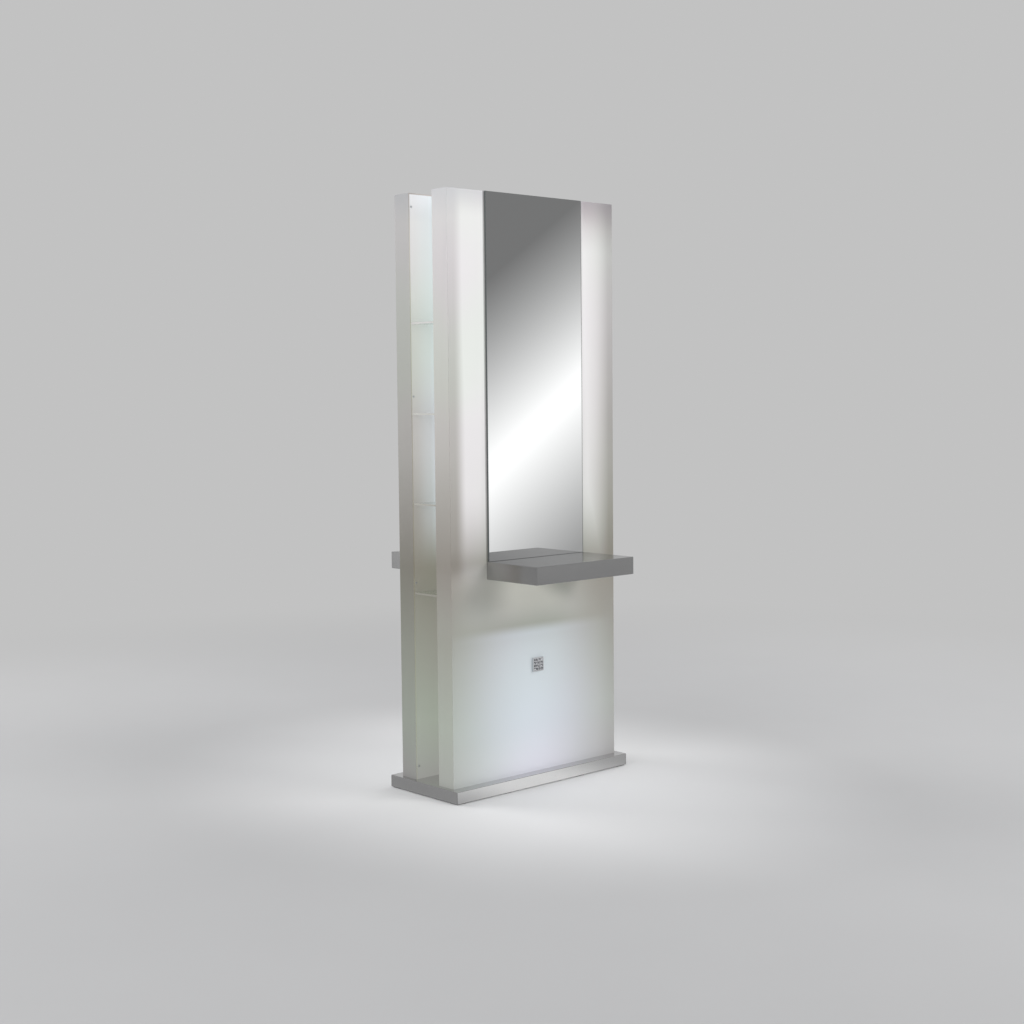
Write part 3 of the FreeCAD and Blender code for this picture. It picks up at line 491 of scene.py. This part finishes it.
def coated_steel(name, colour, roughness):
    """Powder coat, with its fine orange peel."""
    made, nodes = material(name)
    vector = nodes.place()[3]
    peel = nodes.noise(vector, scale=420.0)
    shade = nodes.multiplied_where(nodes.noise(vector, scale=12.0), colour, grey(0.9))
    nodes.surface(Base_Color=shade, Roughness=nodes.by_noise(peel, roughness, roughness + 0.1),
                  Normal=nodes.bump(peel, depth=0.0002))
    return made


def plated_steel(name, colour, bloom_colour):
    """Plated fasteners, with a faint bloom of another tint in places."""
    made, nodes = material(name)
    vector = nodes.place()[3]
    bloom = nodes.noise(vector, scale=140.0, detail=3.0)
    shade = nodes.mix(nodes.fade(bloom, *TINT_FADE), colour, bloom_colour)
    nodes.surface(Base_Color=shade, Metallic=1.0, Roughness=nodes.by_noise(bloom, 0.25, 0.4),
                  Normal=nodes.bump(nodes.noise(vector, scale=900.0), depth=0.00005))
    return made


def bright_steel(name, colour, roughness):
    """Small bright pieces: polished, with hairline scratches."""
    made, nodes = material(name)
    vector = nodes.place()[3]
    hairs = nodes.noise(nodes.stretched(vector, 60.0, 60.0, 900.0), scale=8.0, detail=3.0)
    shade = nodes.multiplied_where(hairs, colour, grey(0.86))
    nodes.surface(Base_Color=shade, Metallic=1.0,
                  Roughness=nodes.by_noise(hairs, roughness, roughness + 0.08),
                  Normal=nodes.bump(hairs, depth=0.00003))
    return made


# ---- glass --------------------------------------------------------------------------------------
# a painted dark line along the mirror face's left and right edges, standing for their thickness and
# shade
PAINTED_EDGE_LINE_WIDTH = 0.0025
FLAT_FACING = 0.95
ARRIS_FACING = 0.3
CLEAR_EDGE_GLOW = 0.30
# patches of brighter foil on the stones: partly the foil, partly painted glints
FOIL_AND_GLINT_FADE = (0.47, 0.62)
LAMP_CAP = 0.018
LAMP_ROOM = 0.01
LAMP_GLOW = 1.5


def mirror_silver():
    """Silvered glass: a clear mirror on its face, dark edges, and a painted dark line along its
    sides for their thickness and shade.
    """
    made, nodes = material("mirror_silver")
    x, _, _, vector = nodes.place()
    flat = nodes.facing(1, FLAT_FACING)
    arris = nodes.times(nodes.facing(1, ARRIS_FACING), nodes.math("SUBTRACT", 1.0, flat))
    grain = nodes.noise(vector, scale=700.0)
    from_edge = nodes.math("SUBTRACT", MIRROR_HIGH.x, nodes.unsigned(x))
    # the painted dark line along the sides is left unsilvered
    silvered = nodes.times(flat, nodes.math("GREATER_THAN", from_edge, PAINTED_EDGE_LINE_WIDTH))
    edge = nodes.mix(grain, tone(90, 95, 94), tone(108, 113, 112))
    colour = nodes.mix(arris, edge, tone(84, 90, 89))
    nodes.surface(
        Base_Color=nodes.mix(silvered, colour, tone(241, 242, 242)), Metallic=silvered,
        Roughness=nodes.level(silvered, nodes.by_noise(grain, 0.2, 0.35), 0.004),
    )
    return made


def clear_sheet(name, edge_share):
    """Clear glass or acrylic. Its polished edges gather the light of the panels beside it."""
    made, nodes = material(name)
    _, _, vector, local = opal_levels(nodes)
    edge_colour = nodes.multiplied(local, grey(edge_share))
    streaks = nodes.noise(vector, scale=30.0)
    clear = nodes.principled(Base_Color=tone(243, 250, 247), Transmission_Weight=1.0, IOR=1.5,
                             Roughness=nodes.by_noise(streaks, 0.0, 0.03))
    edge = nodes.principled(
        Base_Color=nodes.multiplied_where(streaks, edge_colour, grey(0.9)),
        Emission_Color=edge_colour, Emission_Strength=CLEAR_EDGE_GLOW,
        Roughness=nodes.by_noise(streaks, 0.15, 0.25))
    nodes.end(nodes.mixed_shader(nodes.facing(2), edge, clear))
    return made


def crystal():
    """The badge's stones: foiled glass, so they mirror more than they show through; brighter foil
    patches stand in for glints.
    """
    made, nodes = material("crystal")
    foil = nodes.fade(nodes.noise(nodes.place()[3], scale=230.0, detail=1.0), *FOIL_AND_GLINT_FADE)
    nodes.surface(Base_Color=nodes.mix(foil, tone(112, 114, 118), tone(240, 242, 245)),
                  Metallic=0.85, Roughness=0.05, Coat_Weight=1.0)
    return made


def lamp_glass():
    """Fluorescent tubes, with their metal caps."""
    made, nodes = material("lamp_glass")
    x, _, z, vector = nodes.place()
    low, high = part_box("front_left_tube")
    low_lamp_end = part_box("front_lower_tube")[1].x
    upright = nodes.math("GREATER_THAN", z, low.z - LAMP_ROOM)
    from_middle = nodes.unsigned(nodes.math("SUBTRACT", z, (low.z + high.z) / 2))
    along = nodes.level(upright, nodes.unsigned(x), from_middle)
    half = nodes.level(upright, low_lamp_end - LAMP_CAP, (high.z - low.z) / 2 - LAMP_CAP)
    capped = nodes.math("GREATER_THAN", along, half)
    frost = nodes.noise(vector, scale=300.0)
    nodes.surface(
        Base_Color=nodes.mix(capped, tone(244, 245, 243), tone(176, 178, 180)), Metallic=capped,
        Roughness=nodes.by_noise(frost, 0.2, 0.3),
        Emission_Color=nodes.mix(capped, tone(255, 252, 244), grey(0.0)),
        Emission_Strength=LAMP_GLOW,
    )
    return made


# ---- plastics, rubber and wood ------------------------------------------------------------------
ROCKER_MARK_PLACE = 0.0072
ROCKER_MARK_HALF = 0.0026
ROCKER_MARK_LINE = 0.0007
ROCKER_RING_RADIUS = ROCKER_MARK_HALF * 0.8
ROCKER_FACE_FACING = 0.9
PLY = 0.0027


def moulded_plastic(name, colour, roughness, grain_scale):
    """Plastic with the fine spark-eroded grain of its mould."""
    made, nodes = material(name)
    grain = nodes.noise(nodes.place()[3], grain_scale)
    shade = nodes.multiplied_where(grain, colour, grey(0.82))
    nodes.surface(Base_Color=shade, Roughness=nodes.by_noise(grain, roughness, roughness + 0.12),
                  Normal=nodes.bump(grain, depth=0.00012))
    return made


def rocker_plastic():
    """The rockers, with the usual bar and ring for on and off in white paint."""
    made, nodes = material("rocker_plastic")
    x, y, _, vector = nodes.place()
    low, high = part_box("front_switch_rocker")
    grain = nodes.noise(vector, scale=1200.0)
    along = nodes.unsigned(nodes.math("ADD", nodes.unsigned(y), (low.y + high.y) / 2))
    outwards = nodes.times(x, nodes.math("SIGN", y))
    to_bar = nodes.unsigned(nodes.math("SUBTRACT", outwards, ROCKER_MARK_PLACE))
    bar = nodes.times(nodes.math("LESS_THAN", to_bar, ROCKER_MARK_LINE / 2),
                      nodes.math("LESS_THAN", along, ROCKER_MARK_HALF))
    from_ring = nodes.length(nodes.math("ADD", outwards, ROCKER_MARK_PLACE), along)
    to_ring = nodes.unsigned(nodes.math("SUBTRACT", from_ring, ROCKER_RING_RADIUS))
    ring = nodes.math("LESS_THAN", to_ring, ROCKER_MARK_LINE / 2)
    mark = nodes.times(nodes.math("MAXIMUM", bar, ring), nodes.facing(2, ROCKER_FACE_FACING))
    plastic = nodes.mix(grain, tone(34, 34, 36), tone(30, 30, 32))
    nodes.surface(Base_Color=nodes.mix(mark, plastic, tone(226, 226, 222)),
                  Roughness=nodes.by_noise(grain, 0.28, 0.4),
                  Normal=nodes.bump(grain, depth=0.0001))
    return made


def plywood():
    """Birch ply: long grain on its faces and thin plies along its edges."""
    made, nodes = material("plywood")
    _, y, _, vector = nodes.place()
    grain = nodes.noise(nodes.stretched(vector, 2.0, 30.0, 45.0), scale=4.0, detail=5.0,
                        roughness=0.6)
    face = nodes.mix(nodes.by_noise(grain, 0.0, 1.0), tone(214, 186, 146), tone(188, 154, 110))
    plies = nodes.math("SINE", nodes.times(y, 2 * math.pi / PLY))
    edge = nodes.mix(nodes.fade(plies, -0.2, 0.2), tone(150, 112, 74), tone(206, 174, 130))
    nodes.surface(Base_Color=nodes.mix(nodes.facing(1), edge, face),
                  Roughness=nodes.by_noise(grain, 0.5, 0.65),
                  Normal=nodes.bump(grain, depth=0.0002))
    return made


def dress_nodes():
    """Gives each node that shows its material. {} in a name stands for front and rear."""
    chosen = (
        (opal_shell(), ["{}_casing"]),
        (opal_panel(), ["{}_inner_panel"]),
        (polished_steel(), ["plinth_pan"]),
        (satin_steel(), ["{}_shelf_shell", "{}_shelf_underplate"]),
        (plated_steel("zinc_steel", tone(178, 182, 188), tone(196, 192, 178)),
         ["anchor_bolts", "board_bolts", "bracket_bolts", "saddle_screws"]),
        (coated_steel("black_steel", tone(46, 46, 48), 0.4), ["plinth_frame", "{}_shelf_bracket"]),
        (coated_steel("white_steel", tone(226, 227, 226), 0.35),
         ["{}_frame", "{}_side_channels", "{}_lower_channel", "{}_gear_tray"]),
        (moulded_plastic("pad_rubber", tone(38, 38, 38), 0.6, 500.0),
         ["floor_pads", "cable_grommets"]),
        (moulded_plastic("foam_tape", tone(84, 86, 86), 0.8, 900.0), ["{}_mirror_tape"]),
        (mirror_silver(), ["{}_mirror"]),
        (bright_steel("badge_steel", tone(228, 229, 231), 0.1), ["{}_badge_plate"]),
        (moulded_plastic("switch_plastic", tone(34, 34, 36), 0.35, 1200.0),
         ["{}_switch_housing"]),
        (moulded_plastic("holder_plastic", tone(232, 231, 226), 0.3, 700.0),
         ["{}_lampholders", "{}_terminal_block"]),
        (coated_steel("ballast_case", tone(206, 208, 210), 0.3), ["{}_ballasts"]),
        (clear_sheet("clear_glass", 0.84), ["gap_shelf_%d" % number for number in range(1, 5)]),
        (clear_sheet("clear_acrylic", 0.70), ["shelf_cleats"]),
        (lamp_glass(), ["{}_left_tube", "{}_right_tube", "{}_lower_tube"]),
        (plywood(), ["{}_carrier_board"]),
        (rocker_plastic(), ["{}_switch_rocker"]),
    )
    for made, patterns in chosen:
        for name in {pattern.format(side) for pattern in patterns for side in SIDES}:
            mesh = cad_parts[name].data
            mesh.materials.clear()
            mesh.materials.append(made)


# ---- small pieces with more form than the frame gives them --------------------------------------
# Each ring of a stone: its rise and its half width, as shares, and how far it is turned.
CROWN_RINGS = ((0.0, 1.0, 0.0), (0.35, 1.0, 0.0), (0.72, 0.80, 22.5), (1.0, 0.56, 0.0))
CROWN_SIDES = 8
TURNED_REACH = 1.08
# Each ring of a screw's head: its rise and its radius, as shares.
PAN_HEAD = ((0.0, 1.0), (0.22, 1.0), (0.50, 0.93), (0.74, 0.78), (0.90, 0.55), (0.98, 0.28))
HEAD_SEGMENTS = 28
# A recess's half length, half width and depth as shares of the head, and what is left of the first
# two at its floor.
RECESS_REACH = 0.56
RECESS_WIDTH = 0.17
RECESS_DEPTH = 0.62
RECESS_FLOOR = (0.45, 0.7)
RECESS_TOP = 1.1
SHANK_SHARE = 0.47
SHANK_SEGMENTS = 12
SCREW_TURN = 0.9
PANEL_HEAD_HEIGHT = 0.0024
UNDERPLATE_HEAD_HEIGHT = 0.0018
SAME_POINT = 1e-6


def new_piece(name, shape, made, slot, *nodes):
    """Makes the bmesh a piece of the fixed body that stands for these nodes."""
    bmesh.ops.recalc_face_normals(shape, faces=shape.faces)
    piece = mesh_object(name, shape)
    piece.data.materials.append(made)
    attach(piece, "station")
    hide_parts(*nodes)


def islands(node):
    """The lowest and highest corner of each separate solid of a node."""
    shape = bmesh.new()
    shape.from_mesh(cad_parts[node].data)
    bmesh.ops.remove_doubles(shape, verts=shape.verts, dist=SAME_POINT)
    waiting = set(shape.verts)
    found = []
    while waiting:
        group = [waiting.pop()]
        for vertex in group:
            for edge in vertex.link_edges:
                other = edge.other_vert(vertex)
                if other in waiting:
                    waiting.remove(other)
                    group.append(other)
        places = [vertex.co.copy() for vertex in group]
        found.append((Vector(map(min, zip(*places))), Vector(map(max, zip(*places)))))
    shape.free()
    return sorted(found, key=lambda pair: tuple(pair[0]))


def square_ring(middle, half, turn):
    """Eight points on a square's corners and edges, or turned off them on a rounder outline."""
    points = []
    for step in range(CROWN_SIDES):
        angle = math.radians(360 / CROWN_SIDES * step + turn)
        across, up = math.cos(angle), math.sin(angle)
        reach = half / max(abs(across), abs(up)) if turn == 0 else half * TURNED_REACH
        points.append((middle[0] + reach * across, middle[1] + reach * up))
    return points


def badge_stones(side, made):
    """Step-cut stones, with facets from a square girdle to a small flat table."""
    node = side + "_badge_studs"
    shape = bmesh.new()
    for low, high in islands(node):
        seat, table = (high.y, low.y) if low.y < 0 else (low.y, high.y)
        middle = ((low.x + high.x) / 2, (low.z + high.z) / 2)
        half = (high.x - low.x) / 2
        rings = []
        for rise, share, turn in CROWN_RINGS:
            y = seat + (table - seat) * rise
            rings.append([shape.verts.new((across, y, up))
                          for across, up in square_ring(middle, half * share, turn)])
        for lower, upper in zip(rings, rings[1:]):
            for step in range(CROWN_SIDES):
                after = (step + 1) % CROWN_SIDES
                shape.faces.new((lower[step], lower[after], upper[step]))
                shape.faces.new((lower[after], upper[after], upper[step]))
        shape.faces.new(rings[0])
        shape.faces.new(rings[-1])
    new_piece(side + "_badge_stones", shape, made, "crystal", node)


def pan_head():
    """The outside of a pan head of unit radius and height, upright along Z."""
    shape = bmesh.new()
    rings = []
    for rise, share in PAN_HEAD:
        rings.append([shape.verts.new((share * math.cos(2 * math.pi * step / HEAD_SEGMENTS),
                                       share * math.sin(2 * math.pi * step / HEAD_SEGMENTS), rise))
                      for step in range(HEAD_SEGMENTS)])
    for lower, upper in zip(rings, rings[1:]):
        for step in range(HEAD_SEGMENTS):
            after = (step + 1) % HEAD_SEGMENTS
            shape.faces.new((lower[step], lower[after], upper[after], upper[step]))
    shape.faces.new(rings[0])
    shape.faces.new(rings[-1])
    bmesh.ops.recalc_face_normals(shape, faces=shape.faces)
    return mesh_object("head", shape)


def recess_cross():
    """Two crossed bars that taper downwards into the head."""
    shape = bmesh.new()
    for turn in (0, math.pi / 2):
        bar = bmesh.ops.create_cube(shape, size=1.0)["verts"]
        for corner in bar:
            upper = corner.co.z > 0
            corner.co.x *= 2 * RECESS_REACH * (1.0 if upper else RECESS_FLOOR[0])
            corner.co.y *= 2 * RECESS_WIDTH * (1.0 if upper else RECESS_FLOOR[1])
            corner.co.z = RECESS_TOP if upper else 1 - RECESS_DEPTH
        bmesh.ops.rotate(shape, verts=bar, matrix=Matrix.Rotation(turn, 3, "Z"))
    return mesh_object("cross", shape)


def cross_recess_head():
    """The mesh of a pan head of unit radius and height with a cross recess, upright along Z."""
    head, cross = pan_head(), recess_cross()
    cut = head.modifiers.new("recess", "BOOLEAN")
    cut.object = cross
    cut.operation = "DIFFERENCE"
    cut.solver = "EXACT"
    cut.use_self = True
    seen = bpy.context.evaluated_depsgraph_get()
    made = bpy.data.meshes.new_from_object(head.evaluated_get(seen))
    for spare in (head, cross):
        mesh = spare.data
        bpy.data.objects.remove(spare)
        bpy.data.meshes.remove(mesh)
    return made


def cross_recess_screws(node, axis, head_height, made):
    """A screw with a cross recess at each of a node's places. Axis is Y or Z, its direction."""
    pattern = cross_recess_head()
    shape = bmesh.new()
    for index, (low, high) in enumerate(islands(node)):
        middle = (low + high) / 2
        radius = (high.x - low.x) / 2
        if axis == "Y":
            outward = Vector((0, -math.copysign(1, middle.y), 0))
            seat = (low.y if outward.y < 0 else high.y) - outward.y * head_height
            start = Vector((middle.x, seat, middle.z))
            length = high.y - low.y - head_height
        else:
            outward = Vector((0, 0, -1))
            start = Vector((middle.x, middle.y, low.z + head_height))
            length = high.z - low.z - head_height
        turn = Vector((0, 0, 1)).rotation_difference(outward).to_matrix().to_4x4()
        turn = Matrix.Translation(start) @ turn @ Matrix.Rotation(SCREW_TURN * index, 4, "Z")
        head = pattern.copy()
        head.transform(turn @ Matrix.Diagonal((radius, radius, head_height, 1)))
        shape.from_mesh(head)
        bpy.data.meshes.remove(head)
        shank = bmesh.ops.create_cone(
            shape, cap_ends=True, segments=SHANK_SEGMENTS, radius1=radius * SHANK_SHARE,
            radius2=radius * SHANK_SHARE, depth=length)["verts"]
        below = turn @ Matrix.Translation((0, 0, -length / 2))
        bmesh.ops.transform(shape, verts=shank, matrix=below)
    bpy.data.meshes.remove(pattern)
    new_piece("detailed_" + node, shape, made, "zinc_steel", node)


def make_small_pieces():
    stones = crystal()
    screws = plated_steel("bright_screw", tone(204, 206, 208), tone(196, 198, 200))
    for side in SIDES:
        badge_stones(side, stones)
    cross_recess_screws("panel_screws", "Y", PANEL_HEAD_HEIGHT, screws)
    cross_recess_screws("underplate_screws", "Z", UNDERPLATE_HEAD_HEIGHT, screws)


# ---- studio -------------------------------------------------------------------------------------
BACKDROP = 0.54
AMBIENT = 0.52
AMBIENT_WHITE = tone(250, 251, 255)
FLOOR_RADIUS = 14.0
FLOOR_SEGMENTS = 96
FLOOR_SHADE = 0.48
FLOOR_FADE = (1.6, 5.0)
# a painted pool of light on the floor round the plinth
POOL_SHADE = 0.80
POOL_NARROWING = 0.8
POOL_FADE = (0.20, 1.30, 1.0, 0.0)
# A painted glow on the floor beside the plinth, seen only by gloss: its share by distance, and its
# level.
GLOSS_SHARE = 0.82
GLOSS_ALONG_Y = (0.45, 0.85, GLOSS_SHARE, 0.0)
GLOSS_ALONG_X = (0.60, 1.0, 1.0, 0.0)
GLOSS_LEVELS = (grey(1.0), grey(0.40))
GLOSS_LEVEL_FADE = (0.05, 0.50)
# The front side's lamps. The rear side has the same, turned half round.
LAMP_SIZE = 2.6
LAMPS = (("key", (2.2, -4.4, 3.2), 144.0), ("side", (-4.6, -0.8, 2.8), 63.0))
# The white band that the mirrors show runs up to the right, at MIRROR_SLOPE. Its levels are display
# values by the distance up from the band's middle, as seen in the mirror.
MIRROR_BAND_HEIGHT = 1.30
MIRROR_SLOPE = 0.675
BAND_RISE = (-0.60, -0.07, 0.60, 1.0, "LINEAR")
BAND_FALL = (0.04, 0.65, 1.0, 0.45, "LINEAR")
DISPLAY_GAMMA = 2.2
CARD_Y = -3.0
CARD_FOOT = 0.01
CARD_CORNERS = ((-1.3, -0.3), (1.6, -0.3), (1.6, 3.4), (-1.3, 3.4))
# The card's level in a first reflection and in later ones, and how it passes into the surround.
CARD_FIRST = 1.15
CARD_SECOND = 0.50
CARD_RIGHT = (0.80, 1.55)
CARD_LEFT = (-0.60, -1.25)
CARD_HEAD = (2.40, 3.35)
CARD_LOW = (0.36, 0.03)


def make_camera():
    forward = Vector((math.sin(CAMERA_AZIMUTH) * math.cos(CAMERA_PITCH),
                      math.cos(CAMERA_AZIMUTH) * math.cos(CAMERA_PITCH), math.sin(CAMERA_PITCH)))
    level = Vector((math.cos(CAMERA_AZIMUTH), -math.sin(CAMERA_AZIMUTH), 0))
    right = level * math.cos(CAMERA_ROLL) + level.cross(forward) * math.sin(CAMERA_ROLL)
    up = right.cross(forward)
    data = bpy.data.cameras.new("camera")
    data.lens = CAMERA_LENS
    camera = bpy.data.objects.new("camera", data)
    axes = Matrix((right, up, -forward)).transposed().to_4x4()
    camera.matrix_world = Matrix.Translation(CAMERA_PLACE) @ axes
    put_in_scene(camera)
    bpy.context.scene.camera = camera


def make_world():
    """A pale surround for whatever sees it, and a plainer level for the light that it gives."""
    world = bpy.data.worlds.new("surround")
    world.use_nodes = True
    bpy.context.scene.world = world
    nodes = Nodes(world.node_tree)
    rays = nodes.add("LightPath", {}).outputs
    seen = nodes.math("MAXIMUM", rays["Is Camera Ray"],
                      nodes.math("MAXIMUM", rays["Is Glossy Ray"], rays["Is Transmission Ray"]))
    given, shown = (nodes.add("Background", {"Color": colour, "Strength": strength}).outputs[0]
                    for colour, strength in ((AMBIENT_WHITE, AMBIENT), (grey(BACKDROP), 1.0)))
    nodes.end(nodes.mixed_shader(seen, given, shown), "OutputWorld")


def floor_material():
    """A pale floor, with a painted pool of light round the plinth and a painted glow beside it that
    only gloss sees, which passes into the surround far away.
    """
    made, nodes = material("floor")
    x, y, _, vector = nodes.place()

    def from_centre(place):
        return nodes.add("VectorMath", {0: place}, operation="LENGTH").outputs["Value"]

    mottle = nodes.noise(vector, scale=3.0)
    pool = nodes.fade(from_centre(nodes.stretched(vector, 1.0, POOL_NARROWING)), *POOL_FADE)
    shade = nodes.mix(pool, grey(FLOOR_SHADE), grey(POOL_SHADE))
    near = nodes.principled(
        Base_Color=nodes.multiplied(shade, nodes.mix(mottle, grey(0.97), grey(1.0))),
        Roughness=0.65, Specular_IOR_Level=0.2)
    # a painted glow beside the plinth, seen only by gloss, which the plinth's polished walls show
    sideways = nodes.unsigned(x)
    beside = nodes.times(nodes.fades((nodes.unsigned(y), GLOSS_ALONG_Y), (sideways, GLOSS_ALONG_X)),
                         nodes.add("LightPath", {}).outputs["Is Glossy Ray"])
    shown = nodes.emission(nodes.mix(nodes.fade(sideways, *GLOSS_LEVEL_FADE), *GLOSS_LEVELS))
    near = nodes.mixed_shader(beside, near, shown)
    away = nodes.fade(from_centre(vector), *FLOOR_FADE)
    nodes.end(nodes.mixed_shader(away, near, nodes.emission(grey(BACKDROP))))
    return made


def make_floor():
    shape = bmesh.new()
    bmesh.ops.create_circle(shape, cap_ends=True, radius=FLOOR_RADIUS, segments=FLOOR_SEGMENTS)
    floor = mesh_object("floor", shape)
    floor.data.materials.append(floor_material())


def make_lamp(name, place, power):
    """A square soft lamp that faces the middle of the object."""
    data = bpy.data.lights.new(name, "AREA")
    data.size = LAMP_SIZE
    data.energy = power
    lamp = bpy.data.objects.new(name, data)
    lamp.location = place
    towards = Vector((0, 0, HEIGHT / 2)) - Vector(place)
    lamp.rotation_euler = towards.to_track_quat("-Z", "Y").to_euler()
    lamp.visible_camera = False
    lamp.visible_glossy = False
    put_in_scene(lamp)


def make_lamps():
    for prefix, turn in (("", 1), ("rear_", -1)):
        for name, (x, y, z), power in LAMPS:
            make_lamp(prefix + name, (turn * x, turn * y, z), power)


def card_material(name, origin, stretch):
    """The card's gradient. Origin and stretch take a place on it to the mirror's point."""
    made, nodes = material(name)
    x, _, z, _ = nodes.place()
    across = nodes.math("DIVIDE", nodes.math("SUBTRACT", x, origin[0]), stretch)
    height = nodes.math("DIVIDE", nodes.math("SUBTRACT", z, origin[2]), stretch)
    up_band = nodes.math("SUBTRACT", height, nodes.times(across, MIRROR_SLOPE))
    above = nodes.math("SUBTRACT", up_band, MIRROR_BAND_HEIGHT)
    level = nodes.math("POWER", nodes.fades((above, BAND_RISE), (above, BAND_FALL)), DISPLAY_GAMMA)
    depth = nodes.add("LightPath", {}).outputs["Ray Depth"]
    first = nodes.math("LESS_THAN", depth, 1.5)
    level = nodes.times(level, nodes.level(first, CARD_SECOND, CARD_FIRST))
    border = nodes.fade(across, *CARD_RIGHT)
    for value, ends in ((across, CARD_LEFT), (height, CARD_HEAD), (z, CARD_LOW)):
        border = nodes.math("MAXIMUM", border, nodes.fade(value, *ends))
    nodes.end(nodes.emission(grey(1.0), nodes.level(border, level, BACKDROP)))
    return made


def make_card(name, turned):
    """A graded card that only gloss sees, where the camera looks by way of the front mirror."""
    face = MIRROR_LOW.y
    stretch = 1 + (CARD_Y - face) / (CAMERA_PLACE.y - face)

    def on_card(across, height):
        """Where the camera's view meets the card after the mirror's point (across, height)."""
        return (across + (stretch - 1) * (across - CAMERA_PLACE.x), CARD_Y,
                height + (stretch - 1) * (height - CAMERA_PLACE.z))

    corners = [on_card(*corner) for corner in CARD_CORNERS]
    corners = [(x, y, max(z, CARD_FOOT)) for x, y, z in corners]
    mesh = bpy.data.meshes.new(name)
    mesh.from_pydata(corners, [], [(0, 1, 2, 3)])
    mesh.materials.append(card_material(name, on_card(0, 0), stretch))
    card = bpy.data.objects.new(name, mesh)
    card.rotation_euler.z = math.pi if turned else 0.0
    for ray in ("camera", "diffuse", "transmission", "volume_scatter", "shadow"):
        setattr(card, "visible_" + ray, False)
    put_in_scene(card)


# ---- all of it ----------------------------------------------------------------------------------
make_camera()
dress_nodes()
make_small_pieces()
make_world()
make_floor()
make_lamps()
make_card("front_card", False)
make_card("rear_card", True)
bpy.context.scene.view_settings.view_transform = "Standard"
